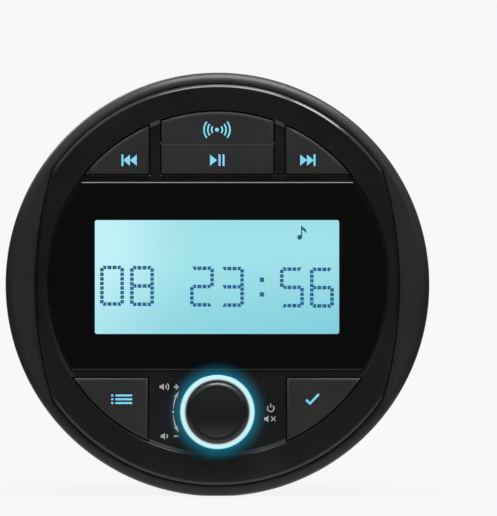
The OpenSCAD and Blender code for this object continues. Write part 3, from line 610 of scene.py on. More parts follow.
@dataclass(frozen=True)
class RingLight(Finish):
    """Lit light guide: dim at its inner edge, white in its middle, cyan at its outer edge."""

    bands: tuple[tuple[float, Colour], ...]
    inner: float = 0.0077
    outer: float = 0.0094

    def feeds(self, n: Nodes, place: Socket) -> Feeds:
        """Adds bands of light from the inner edge to the outer one.

        Args:
            n: the material's nodes.
            place: Object coordinates.

        Returns:
            What the shader's inputs get, by name.
        """
        across = n.ranged(n.from_knob(place), (self.inner, self.outer))
        ramp = n.add("ValToRGB", Fac=across)
        stops = ramp.color_ramp.elements
        for i, (position, colour) in enumerate(self.bands):
            stop = stops[i] if i < 2 else stops.new(position)
            stop.position = position
            stop.color = opaque(colour)
        return {"Base Color": (0.02, 0.03, 0.03, 1.0), "Emission Color": ramp.outputs["Color"],
                "Emission Strength": 1.0, "Roughness": 0.35}


@dataclass(frozen=True)
class Circuit(Finish):
    """Solder-resisted board with tracks."""

    resist: Colour
    track: Colour

    def feeds(self, n: Nodes, place: Socket) -> Feeds:
        """Adds tracks that stand a little proud.

        Args:
            n: the material's nodes.
            place: Object coordinates.

        Returns:
            What the shader's inputs get, by name.
        """
        cell = n.add("TexVoronoi", {"feature": "DISTANCE_TO_EDGE"}, Vector=place, Scale=300.0)
        line = n.ranged(cell.outputs["Distance"], (0.04, 0.06), (1.0, 0.0))
        return {"Base Color": n.mixed(line, opaque(self.resist), opaque(self.track)),
                "Normal": n.bump(line, 0.2, 0.00005), "Roughness": 0.35}


# Colour of the painted glow that stands in for the lit ring's light on the surfaces round it.
HALO = srgb(8, 104, 128)
TURNED_LINES = (900.0, 9000.0, 900.0)

TRIM = Moulded("trim_satin", (0.0186, 0.0189, 0.0194), rough=0.35, depth=0.06)
FACE = Moulded("face_satin", (0.0086, 0.0088, 0.0092), rough=0.26, specular=0.3, halo=HALO)
BEVEL = Moulded("face_bevel", (0.0086, 0.0088, 0.0092), rough=0.17, rough_spread=0.06,
                specular=0.45, depth=0.03)
# The wall's painted glow of the ring's light is a brighter cyan.
WALL = Moulded("wall_satin", (0.0085, 0.0087, 0.0090), rough=0.55, specular=0.14,
               halo=srgb(16, 124, 150))
# Painted highlight: far lighter than the face, for the wall between the top keys and the rounded
# edges under them.
CORNER = Moulded("wall_corner_painted_highlight", (0.19, 0.192, 0.195), rough=0.5, specular=0.2)
KEY = Moulded("key_satin", (0.0262, 0.0266, 0.0273), rough=0.30, specular=0.3, rim_gain=0.05)
LENS = Polished("lens_gloss", (0.0034, 0.0036, 0.0039), specular=0.4, halo=HALO)
# Painted highlight: far lighter than the lens, for its lower rounded edges.
LENS_EDGE_HIGHLIGHT = Moulded("lens_edge_painted_highlight", (0.075, 0.076, 0.077), rough=0.5, specular=0.3, halo=HALO)
PANE = Clear("window_pane")
PANEL = LitPanel("display_light", srgb(196, 243, 248), srgb(159, 225, 232), srgb(130, 206, 220))
DOTS = LitPrint("display_dots", srgb(6, 68, 106), glow=0.85, spread=0.5)
CYAN = LitPrint("legend_cyan", srgb(112, 186, 210), glow=0.55)
SILVER = LitPrint("legend_silver", srgb(150, 152, 152), glow=0.45)
KNOB_BLACK = Moulded("knob_black", (0.0034, 0.0036, 0.0040), rough=0.26, specular=0.38,
                     grain=7000.0, depth=0.05)
RING = RingLight("ring_light", ((0.0, srgb(30, 42, 42)), (1.0, srgb(96, 196, 212)),
                                (0.16, srgb(72, 84, 86)), (0.34, srgb(206, 222, 232)),
                                (0.60, srgb(204, 240, 248)), (0.82, srgb(180, 242, 250))))
CAN = Moulded("can_grained", (0.013, 0.0132, 0.014), rough=0.55, grain=2600.0, depth=0.35)
RUBBER = Moulded("seal_rubber", (0.006, 0.006, 0.006), rough=0.8, grain=3500.0, depth=0.3,
                 specular=0.2)
CASTING = Moulded("sink_casting", (0.018, 0.0185, 0.02), rough=0.42, grain=3200.0, depth=0.45,
                  rim_gain=1.2, specular=0.5)
NYLON = Moulded("socket_nylon", (0.62, 0.58, 0.47), rough=0.5, grain=4200.0, rim_gain=0.1)
WHITE = Moulded("insulator_white", (0.76, 0.76, 0.73), rim_gain=0.1)
RED = Moulded("insulator_red", (0.44, 0.012, 0.016), rough=0.42, rim_gain=0.2)
BLACK = Moulded("insulator_black", (0.010, 0.010, 0.010), rough=0.5)
SILICONE = Moulded("keypad_silicone", (0.27, 0.29, 0.30), rough=0.7, grain=2500.0)
CARBON = Moulded("pill_carbon", (0.006, 0.006, 0.006), rough=0.65)
WHITE_MOULD = Moulded("frame_white", (0.74, 0.74, 0.70), rough=0.5)
CREAM = Moulded("ribbon_cream", (0.66, 0.62, 0.50), rough=0.55, mottle=300.0)
SLEEVE = Moulded("capacitor_sleeve", (0.018, 0.030, 0.072), rough=0.25, specular=0.5)
CHIP = Moulded("chip_epoxy", (0.011, 0.011, 0.012), rough=0.6, grain=6000.0, depth=0.3)
PAD = Moulded("thermal_pad", (0.33, 0.43, 0.53), rough=0.8)
STRIP = Moulded("contact_rubber", (0.09, 0.10, 0.12), rough=0.7, mottle=900.0, tint=0.8)
GUIDE = Clear("light_guide", (0.86, 0.94, 0.97), rough=0.25)
LAMP = LitPrint("lamp_phosphor", (0.86, 0.84, 0.56), glow=0.8)
BOARD = Circuit("board_resist", (0.010, 0.090, 0.032), (0.030, 0.160, 0.060))
STEEL = Metal("screw_steel", (0.50, 0.51, 0.53), rough=0.34)
ZINC = Metal("encoder_zinc", (0.42, 0.43, 0.44), rough=0.45)
TURNED = Metal("turned_steel", (0.56, 0.57, 0.58), rough=0.26, stretch=(700.0, 12000.0, 700.0))
TIN = Metal("tin_plate", (0.60, 0.61, 0.60), rough=0.35)
STRAP = Metal("bracket_zinc", (0.52, 0.53, 0.54), rough=0.38, stretch=(500.0, 7000.0, 7000.0))
BRASS = Metal("nut_brass", (0.62, 0.45, 0.16), rough=0.32, stretch=TURNED_LINES)
GOLD = Metal("jack_gold", (0.80, 0.58, 0.24), rough=0.2, stretch=TURNED_LINES)
NICKEL = Metal("socket_nickel", (0.60, 0.58, 0.54), rough=0.18, stretch=TURNED_LINES)
PIN = Metal("pin_brass", (0.70, 0.55, 0.24))


# Outlines and mesh shaping


class Line(Protocol):
    """A closed outline round a centre."""

    at: Point

    def reach(self, angle: float) -> float:
        """Distance from the centre at an angle, in radians from +x."""

    def corners(self) -> Sequence[float]:
        """Angles at which the outline turns sharply and needs a point."""


Ring = tuple[Line, float]


@dataclass(frozen=True)
class RoundLine:
    """A circle."""

    radius: float
    at: Point = ORIGIN

    def reach(self, angle: float) -> float:
        """Distance from the centre at an angle, in radians from +x."""
        return self.radius

    def corners(self) -> Sequence[float]:
        """No angle needs a point of its own."""
        return ()


@dataclass(frozen=True)
class HexLine(RoundLine):
    """A hexagon round a circle, with corners at every 60 degrees from +x."""

    def reach(self, angle: float) -> float:
        """Distance from the centre at an angle, in radians from +x."""
        return self.radius / math.cos(angle % (math.pi / 3) - math.pi / 6)


@dataclass(frozen=True)
class BarrelLine:
    """The faceplate's outline, grown outwards: round above and below, flatter at the sides."""

    grow: float
    radius: float = 50.4
    half_width: float = 45.6
    side_radius: float = 100.0
    at: Point = ORIGIN

    def reach(self, angle: float) -> float:
        """Distance from the centre at an angle.

        Args:
            angle: radians from +x.

        Returns:
            The distance in mm.
        """
        c = self.side_radius - self.half_width
        s = self.side_radius + self.grow
        side = math.sqrt(s * s - (c * math.sin(angle)) ** 2) - c * abs(math.cos(angle))
        return min(self.radius + self.grow, side)

    def corners(self) -> Sequence[float]:
        """Angles at which the outline turns sharply and needs a point.

        Returns:
            The four angles in radians.
        """
        c = self.side_radius - self.half_width
        s, r = self.side_radius + self.grow, self.radius + self.grow
        a = math.acos((s * s - r * r - c * c) / (2 * r * c))
        return a, math.pi - a, a - math.pi, -a


def pick(geom: Iterable[object], kind: type) -> list:
    """Picks the elements of one kind from what an operator made."""
    return [g for g in geom if isinstance(g, kind)]


def arc(centre: Point, radius: float, start: float, end: float, steps: int) -> list[Point]:
    """Points along an arc.

    Args:
        centre: its centre.
        radius: its radius.
        start: first angle in degrees.
        end: last angle in degrees.
        steps: number of steps.

    Returns:
        The points.
    """
    turns = [math.radians(start + (end - start) * i / steps) for i in range(steps + 1)]
    return [(centre[0] + radius * math.cos(t), centre[1] + radius * math.sin(t)) for t in turns]


class Shaper:
    """A mesh in the face frame, shaped by bmesh operators."""

    def __init__(self) -> None:
        """Starts an empty mesh with a layer that marks rounded rims, which the finishes lighten
        partly as wear and partly as a painted highlight.
        """
        self.bm = bmesh.new()
        self.rim = self.bm.faces.layers.float.new("rim")

    def _place(self, verts: Verts, ring: Ring) -> None:
        """Moves vertices, in order, onto an outline.

        Args:
            verts: the vertices.
            ring: the outline and its height.
        """
        line, z = ring
        turns = [math.tau * i / len(verts) for i in range(len(verts))]
        for corner in line.corners():
            gaps = [abs(math.remainder(t - corner, math.tau)) for t in turns]
            turns[gaps.index(min(gaps))] = corner
        for v, t in zip(verts, turns):
            r = line.reach(t)
            v.co = (line.at[0] + r * math.cos(t), line.at[1] + r * math.sin(t), z)

    def _edges_round(self, verts: Verts) -> Edges:
        """Gives the edges of a closed loop of vertices, in order."""
        return [self.bm.edges.get(pair) for pair in zip(verts, [*verts[1:], verts[0]])]

    def wall(self, rings: Sequence[Ring], steps: int = STEPS) -> tuple[Edges, Edges]:
        """Makes a wall that runs from one outline to the next.

        Args:
            rings: outlines with their heights, in order.
            steps: edges round each.

        Returns:
            The first outline's edges and the last one's.
        """
        verts = bmesh.ops.create_circle(self.bm, radius=1.0, segments=steps)["verts"]
        first = edges = self._edges_round(verts)
        self._place(verts, rings[0])
        for ring in rings[1:]:
            made = bmesh.ops.extrude_edge_only(self.bm, edges=edges)["geom"]
            copies = {tuple(v.co): v for v in pick(made, bmesh.types.BMVert)}
            verts = [copies[tuple(v.co)] for v in verts]
            edges = self._edges_round(verts)
            self._place(verts, ring)
        return first, edges

    def chain(self, points: Iterable[Sequence[float]], closed: bool = False) -> tuple[Verts, Edges]:
        """Adds points in space, joined in order by edges.

        Args:
            points: the points.
            closed: whether the last joins the first.

        Returns:
            The vertices and the edges.
        """
        verts = [self.bm.verts.new(p) for p in points]
        ends = verts[1:] + verts[:1] if closed else verts[1:]
        return verts, [self.bm.edges.new(pair) for pair in zip(verts, ends)]

    def lathe(self, points: Sequence[Point], at: Point = ORIGIN, steps: int = 96,
              closed: bool = False) -> None:
        """Spins a half section of (radius, height) points about an upright axis.

        Args:
            points: the half section.
            at: the axis.
            steps: steps round the axis.
            closed: whether the section's last point joins its first.
        """
        verts, edges = self.chain([(at[0] + r, at[1], z) for r, z in points], closed)
        bmesh.ops.spin(self.bm, geom=verts + edges, cent=(*at, 0.0), axis=UP, angle=math.tau,
                       steps=steps, use_merge=True)
        bmesh.ops.remove_doubles(self.bm, verts=self.bm.verts, dist=MERGE)

    def disc(self, radius: float, z: float, at: Point = ORIGIN, steps: int = STEPS) -> None:
        """Adds a flat round face about a middle, at a height."""
        bmesh.ops.create_circle(self.bm, cap_ends=True, radius=radius, segments=steps,
                                matrix=Matrix.Translation((*at, z)))

    def shift(self, verts: Iterable[bmesh.types.BMVert], z: float) -> None:
        """Moves vertices along z."""
        bmesh.ops.translate(self.bm, verts=verts, vec=(0.0, 0.0, z))

    def sink(self, edges: Edges, depth: float) -> Edges:
        """Extrudes a loop of edges along -z.

        Args:
            edges: the loop's edges.
            depth: the distance.

        Returns:
            The loop at the far end.
        """
        made = bmesh.ops.extrude_edge_only(self.bm, edges=edges)["geom"]
        moved = pick(made, bmesh.types.BMVert)
        self.shift(moved, -depth)
        return [e for e in self.bm.edges if e.verts[0] in moved and e.verts[1] in moved]

    def raise_faces(self, height: float) -> None:
        """Extrudes every face along z, or down where the height is negative."""
        made = bmesh.ops.extrude_face_region(self.bm, geom=self.bm.faces[:])["geom"]
        self.shift(pick(made, bmesh.types.BMVert), height)

    def fill(self, edges: Edges) -> None:
        """Fills flat loops, the inner ones as holes."""
        bmesh.ops.triangle_fill(self.bm, edges=edges, use_beauty=True, use_dissolve=True, normal=UP)

    def cut(self, axis: int, place: float, clear: int = 0) -> None:
        """Cuts the whole mesh with a plane across x or y.

        Args:
            axis: 0 for x, 1 for y.
            place: where the plane crosses that axis.
            clear: 1 to drop what lies above the plane, -1 what lies below.
        """
        co, no = Vector((0.0, 0.0, 0.0)), Vector((0.0, 0.0, 0.0))
        co[axis] = place
        no[axis] = -1.0 if clear < 0 else 1.0
        geom = self.bm.verts[:] + self.bm.edges[:] + self.bm.faces[:]
        bmesh.ops.bisect_plane(self.bm, geom=geom, dist=MERGE, plane_co=co, plane_no=no,
                               clear_outer=bool(clear))

    def keep_faces(self, wanted: Callable[[Vector], bool]) -> None:
        """Deletes the faces whose middle isn't wanted."""
        drop = [f for f in self.bm.faces if not wanted(f.calc_center_median())]
        bmesh.ops.delete(self.bm, geom=drop, context="FACES")

    def ease_corners(self, reach: float, turn: float = 20.0) -> None:
        """Takes out an outline's small steps beside its corners, to give a rounding room.

        Args:
            reach: distance from a corner within which steps go.
            turn: angle from which a step is a corner, in degrees.
        """
        least = math.radians(turn)
        corners = [v.co.copy() for v in self.bm.verts if v.calc_edge_angle(0.0) > least]
        near = [v for v in self.bm.verts if MERGE < min((v.co - c).length for c in corners) < reach]
        bmesh.ops.dissolve_verts(self.bm, verts=near)

    def soften(self, edges: Edges, width: float, segments: int = 2, held: bool = True) -> None:
        """Rounds edges and marks the new faces as rims.

        Args:
            edges: the edges to round.
            width: the rounding's width.
            segments: its number of faces.
            held: whether short edges hold the width back.
        """
        made = bmesh.ops.bevel(self.bm, geom=edges, offset=width, offset_type="OFFSET",
                               segments=segments, profile=0.5, affect="EDGES", material=-1,
                               clamp_overlap=held)
        for f in made["faces"]:
            f[self.rim] = 1.0

    def sharp(self, least: float = SQUARE_TURN, z_from: float = -1e9) -> Edges:
        """Finds edges that turn by more than an angle.

        Args:
            least: the angle in degrees.
            z_from: the lowest height of their ends.

        Returns:
            The edges.
        """
        return [e for e in self.bm.edges if len(e.link_faces) == 2
                and e.calc_face_angle(0.0) > math.radians(least)
                and min(v.co.z for v in e.verts) > z_from]

    def lip(self, top: float, width: float, fall: float, segments: int) -> None:
        """Rounds the rim of a block's front, wider than it falls.

        Args:
            top: the front's height.
            width: the rounding's width.
            fall: how far it falls.
            segments: its number of faces.
        """
        self.soften(self.sharp(z_from=top - TOUCH), width, segments, held=False)
        rounded = [v for v in self.bm.verts if top - width - TOUCH < v.co.z < top]
        lift = Matrix.Translation((0.0, 0.0, top))
        flatter = lift @ Matrix.Diagonal((1.0, 1.0, fall / width, 1.0)) @ lift.inverted()
        bmesh.ops.transform(self.bm, matrix=flatter, verts=rounded)

    def join(self, other: "Shaper") -> None:
        """Takes over another mesh, which is used up.

        Args:
            other: the other mesh.
        """
        spare = bpy.data.meshes.new("spare")
        other.bm.to_mesh(spare)
        other.bm.free()
        self.bm.from_mesh(spare)
        bpy.data.meshes.remove(spare)

    def tidy(self) -> None:
        """Merges doubles and turns the faces outwards."""
        bmesh.ops.remove_doubles(self.bm, verts=self.bm.verts, dist=MERGE)
        bmesh.ops.recalc_face_normals(self.bm, faces=self.bm.faces)

    def stand(self) -> None:
        """Stands the mesh up in metres."""
        bmesh.ops.transform(self.bm, matrix=UPRIGHT, verts=self.bm.verts)

    def settle(self) -> None:
        """Tidies the mesh and stands it up."""
        self.tidy()
        self.stand()


def finish_piece(shape: Shaper, name: str, finishes: Sequence[Finish], body: Body | None,
                 nodes: Sequence[str] = (), turn: float = 32.0) -> bpy.types.Object:
    """Makes a shaped mesh a piece of the object.

    Args:
        shape: the mesh, upright in metres.
        name: the piece's name.
        finishes: its materials, in the order of the faces' indices.
        body: what it rides on, or None to leave it on no body.
        nodes: CAD nodes that it stands for.
        turn: angle from which an edge stays sharp, in degrees.

    Returns:
        The piece.
    """
    mesh = bpy.data.meshes.new(name)
    shape.bm.to_mesh(mesh)
    shape.bm.free()
    for f in finishes:
        mesh.materials.append(f.material())
    mesh.polygons.foreach_set("use_smooth", [True] * len(mesh.polygons))
    mesh.set_sharp_from_angle(angle=math.radians(turn))
    piece = bpy.data.objects.new(name, mesh)
    bpy.context.scene.collection.objects.link(piece)
    flat = piece.modifiers.new("flat_faces", "WEIGHTED_NORMAL")
    flat.keep_sharp = True
    flat.weight = 100
    if body:
        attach(piece, body.value)
    if nodes:
        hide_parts(*nodes)
    log.info("%s: %d faces on %s", name, len(mesh.polygons), body.value if body else "two bodies")
    return piece


def refined(node: str, edge: float, held: bool = True, turn: float = 30.0) -> Shaper:
    """Copies a CAD node's mesh, merged, with its sharp edges softened.

    Args:
        node: the node's name.
        edge: the rounding's width in mm.
        held: whether short edges hold the width back.
        turn: the angle from which an edge is rounded, in degrees.

    Returns:
        The copy, upright in metres.
    """
    shape = Shaper()
    shape.bm.from_mesh(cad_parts[node].data)
    bmesh.ops.remove_doubles(shape.bm, verts=shape.bm.verts, dist=2e-6)
    bmesh.ops.dissolve_limit(shape.bm, angle_limit=math.radians(0.4), verts=shape.bm.verts,
                             edges=shape.bm.edges)
    shape.rim = shape.bm.faces.layers.float.get("rim") or shape.bm.faces.layers.float.new("rim")
    shape.soften(shape.sharp(turn), edge * MM, held=held)
    bmesh.ops.recalc_face_normals(shape.bm, faces=shape.bm.faces)
    return shape


@dataclass
class Softened:
    """A piece that is a CAD node's own shape with softened edges."""

    name: str
    node: str
    finish: Finish
    slot: str
    edge: float
    body: Body = Body.STEREO
    held: bool = True

    def build(self) -> None:
        """Makes the piece."""
        shape = refined(self.node, self.edge, self.held)
        finish_piece(shape, self.name, (self.finish,), self.body, (self.node,))


class Legend(Shaper):
    """Flat printed marks with a film's thickness."""

    def mark(self, points: Sequence[Point], at: Point = ORIGIN) -> None:
        """Adds a flat mark with straight sides."""
        self.bm.faces.new([self.bm.verts.new((at[0] + x, at[1] + y, 0.0)) for x, y in points])

    def bar(self, at: Point, width: float, height: float) -> None:
        """Adds an upright rectangle about a middle."""
        w, h = width / 2, height / 2
        self.mark(((-w, -h), (w, -h), (w, h), (-w, h)), at)

    def dot(self, at: Point, radius: float, steps: int = 20) -> None:
        """Adds a round dot."""
        self.disc(radius, 0.0, at, steps)

    def bow(self, at: Point, radius: float, width: float, start: float, end: float,
            steps: int = 18) -> None:
        """Adds a curved stroke.

        Args:
            at: the curve's centre.
            radius: the stroke's middle radius.
            width: the stroke's width.
            start: first angle in degrees.
            end: last angle in degrees.
            steps: number of steps.
        """
        a = math.radians(start)
        verts, edges = self.chain([(at[0] + r * math.cos(a), at[1] + r * math.sin(a), 0.0)
                                   for r in (radius - width / 2, radius + width / 2)])
        bmesh.ops.spin(self.bm, geom=verts + edges, cent=(*at, 0.0), axis=UP,
                       angle=math.radians(end - start), steps=steps)

    def stroke(self, first: Point, last: Point, width: float) -> None:
        """Adds a straight stroke.

        Args:
            first: where it begins.
            last: where it ends.
            width: its width.
        """
        a, b = Vector(first), Vector(last)
        run = b - a
        side = Vector((-run.y, run.x)).normalized() * width / 2
        self.mark([tuple(p) for p in (a - side, b - side, b + side, a + side)])

    def print_on(self, name: str, finish: Finish, body: Body, slot: str, z: float,
                 film: float = 0.03) -> None:
        """Gives the marks their thickness and makes them a piece.

        Args:
            name: the piece's name.
            finish: its finish.
            body: what it rides on.
            slot: not used.
            z: height of the surface that it is printed on.
            film: its thickness.
        """
        bmesh.ops.recalc_face_normals(self.bm, faces=self.bm.faces)
        self.raise_faces(film)
        self.shift(self.bm.verts, z)
        bmesh.ops.recalc_face_normals(self.bm, faces=self.bm.faces)
        self.stand()
        finish_piece(self, name, (finish,), body)


# Sub-assemblies


@dataclass
class TrimRing:
    """Round outer bezel with a barrel-shaped opening. Its edges are (inset, fall) steps."""

    radius: float = 53.38
    front: float = 17.4
    rounding: float = 2.2
    rear: float = 1.5
    bore: float = 49.6
    lip_back: float = 14.0
    lip_front: float = 15.2
    gap: float = 0.25
    lip_reach: float = 2.5
    inner_edge: tuple[Point, ...] = ((0.0, 0.13), (0.035, 0.035), (0.12, 0.0))
    rear_edge: tuple[Point, ...] = ((0.0, 0.4), (0.12, 0.12), (0.4, 0.0))

    def build(self) -> None:
        """Makes the ring from loops that run once round its section."""
        s = Shaper()
        shoulder = (self.radius - self.rounding, self.front - self.rounding)
        rings: list[Ring] = [(BarrelLine(self.gap), self.lip_front)]
        rings += [(BarrelLine(self.gap + inset), self.front - fall)
                  for inset, fall in self.inner_edge]
        rings += [(RoundLine(r), z) for r, z in arc(shoulder, self.rounding, 90, 0, 12)]
        rings += [(RoundLine(self.radius - inset), self.rear + fall)
                  for inset, fall in self.rear_edge]
        rings += [(RoundLine(self.bore), self.rear), (RoundLine(self.bore), self.lip_back),
                  (BarrelLine(-self.lip_reach), self.lip_back),
                  (BarrelLine(-self.lip_reach), self.lip_front), rings[0]]
        s.wall(rings)
        s.settle()
        finish_piece(s, "bezel_ring", (TRIM,), Body.STEREO, ("trim_ring",))


class FacePart(IntEnum):
    """Parts of the faceplate with finishes of their own."""

    FACE = 0
    WALL = 1
    BEVEL = 2
    # The wall and edges by the top keys, which get a painted highlight.
    CORNER = 3


@dataclass
class Faceplate:
    """Barrel-shaped front moulding with its sunk floor and openings.

    Its edges are (growth, fall) steps from the rim.
    """

    back: float = 15.2
    base: float = 16.2
    floor: float = 18.6
    rim: float = 19.5
    bevel: tuple[Point, ...] = ((0.0, 0.81), (-0.05, 0.69), (-0.68, 0.05), (-0.81, 0.0))
    opening_edge: tuple[Point, ...] = ((0.08, 0.0), (0.0, 0.06))
    lip: float = 1.2
    opening: float = 43.55
    recess: float = 42.6
    centre: Point = FACE_CENTRE
    seat: float = 17.5
    lens_top: float = 25.9
    lens_bottom: float = -21.55
    top_row: float = 27.4
    low_row: float = -23.2
    rocker_half: float = 14.4
    side_key: float = 16.9
    low_key: float = 17.2
    ring_hole: float = 9.4
    ring_steps: int = 96
    brink: float = 0.18
    window: Box = (-31.2, 31.2, -13.0, 16.8)

    def _rim(self) -> Shaper:
        """Makes the rim: its back, its side, its bevelled front and the wall of its opening.

        Returns:
            The rim's mesh.
        """
        s = Shaper()
        rings: list[Ring] = [(BarrelLine(-self.lip), self.base), (BarrelLine(-self.lip), self.back),
                             (BarrelLine(0.0), self.back)]
        rings += [(BarrelLine(growth), self.rim - fall) for growth, fall in self.bevel]
        rings += [(RoundLine(self.opening + growth, self.centre), self.rim - fall)
                  for growth, fall in self.opening_edge]
        s.wall(rings + [(RoundLine(self.opening, self.centre), self.base), rings[0]])
        return s

    def _stays(self, c: Vector) -> bool:
        """Tells whether a cell is floor or wall, not an opening.

        Args:
            c: the cell's middle.

        Returns:
            Whether it stays.
        """
        x, y = abs(c.x), c.y
        if self.lens_bottom < y < self.lens_top:
            return c.z > self.floor + NEAR
        if y > self.top_row:
            return self.rocker_half < x < self.side_key
        return y > self.low_row or x < self.low_key

    def _well(self, s: Shaper) -> list[bmesh.types.BMFace]:
        """Finds the floor round the knob.

        Args:
            s: the floor's mesh.

        Returns:
            Its faces there.
        """
        middles = [(f, f.calc_center_median()) for f in s.bm.faces]
        return [f for f, c in middles if c.y < self.low_row and c.z < self.floor + NEAR]

    def _floor(self) -> Shaper:
        """Makes the sunk floor and its sloped wall, with the openings for keys, lens and knob.

        Returns:
            The floor's mesh.
        """
        s = Shaper()
        low, _ = s.wall(((RoundLine(self.recess, self.centre), self.floor),
                         (RoundLine(self.opening + 0.02, self.centre), self.rim - NEAR)))
        bmesh.ops.contextual_create(s.bm, geom=low)
        for x in (self.rocker_half, self.side_key, self.low_key):
            s.cut(0, x)
            s.cut(0, -x)
        for y in (self.lens_top, self.top_row, self.low_row, self.lens_bottom):
            s.cut(1, y)
        s.keep_faces(self._stays)
        bmesh.ops.dissolve_faces(s.bm, faces=self._well(s))
        well = self._well(s)
        edges = [e for f in well for e in f.edges]
        bmesh.ops.delete(s.bm, geom=well, context="FACES_ONLY")
        hole, _ = s.wall(((RoundLine(self.ring_hole, KNOB), self.floor),), self.ring_steps)
        s.fill(edges + hole)
        # The wall between the top keys gets the painted highlight; the rest of the wall gets its
        # own finish.
        for f in s.bm.faces:
            middle = f.calc_center_median()
            if middle.z > self.floor + NEAR:
                f.material_index = FacePart.CORNER if middle.y > self.top_row else FacePart.WALL
        s.raise_faces(self.base - self.floor)
        s.tidy()
        middle = Vector(self.centre)
        brinks = [e for e in s.sharp(z_from=self.floor - TOUCH)
                  if all(abs(v.co.z - self.floor) < TOUCH for v in e.verts)
                  and min((v.co.xy - middle).length for v in e.verts) < self.recess - TOUCH]
        s.soften(brinks, self.brink)
        # The rounded edges under the top keys get the painted highlight too.
        for f in s.bm.faces:
            if f[s.rim] and f.normal.y > 0.3 and f.calc_center_median().y > self.lens_top:
                f.material_index = FacePart.CORNER
        return s

    def _seat(self) -> Shaper:
        """Makes the ledge that the lens lies on, with the display's window in it.

        Returns:
            The ledge's mesh.
        """
        s = Shaper()
        s.disc(self.opening + 0.1, self.seat, self.centre)
        s.cut(1, self.lens_top, 1)
        s.cut(1, self.lens_bottom, -1)
        x0, x1, y0, y1 = self.window
        for axis, place in ((0, x0), (0, x1), (1, y0), (1, y1)):
            s.cut(axis, place)
        s.keep_faces(lambda c: not (x0 < c.x < x1 and y0 < c.y < y1))
        s.raise_faces(self.base - self.seat)
        return s

    def build(self) -> None:
        """Makes the faceplate from its rim, floor and lens seat."""
        s = self._rim()
        s.join(self._floor())
        s.join(self._seat())
        s.tidy()
        for f in s.bm.faces:
            middle = f.calc_center_median()
            if 0.5 < f.normal.z < 0.9 and middle.xy.length > self.opening + 1.0:
                f.material_index = FacePart.BEVEL
        s.stand()
        finish_piece(s, "face_moulding", (FACE, WALL, BEVEL, CORNER), Body.STEREO,
                     ("faceplate",))


STROKES = {"0": "abcdef", "1": "bc", "2": "abged", "3": "abgcd", "4": "fgbc",
           "5": "afgcd", "6": "afgedc", "7": "abc", "8": "abcdefg", "9": "abcdfg"}


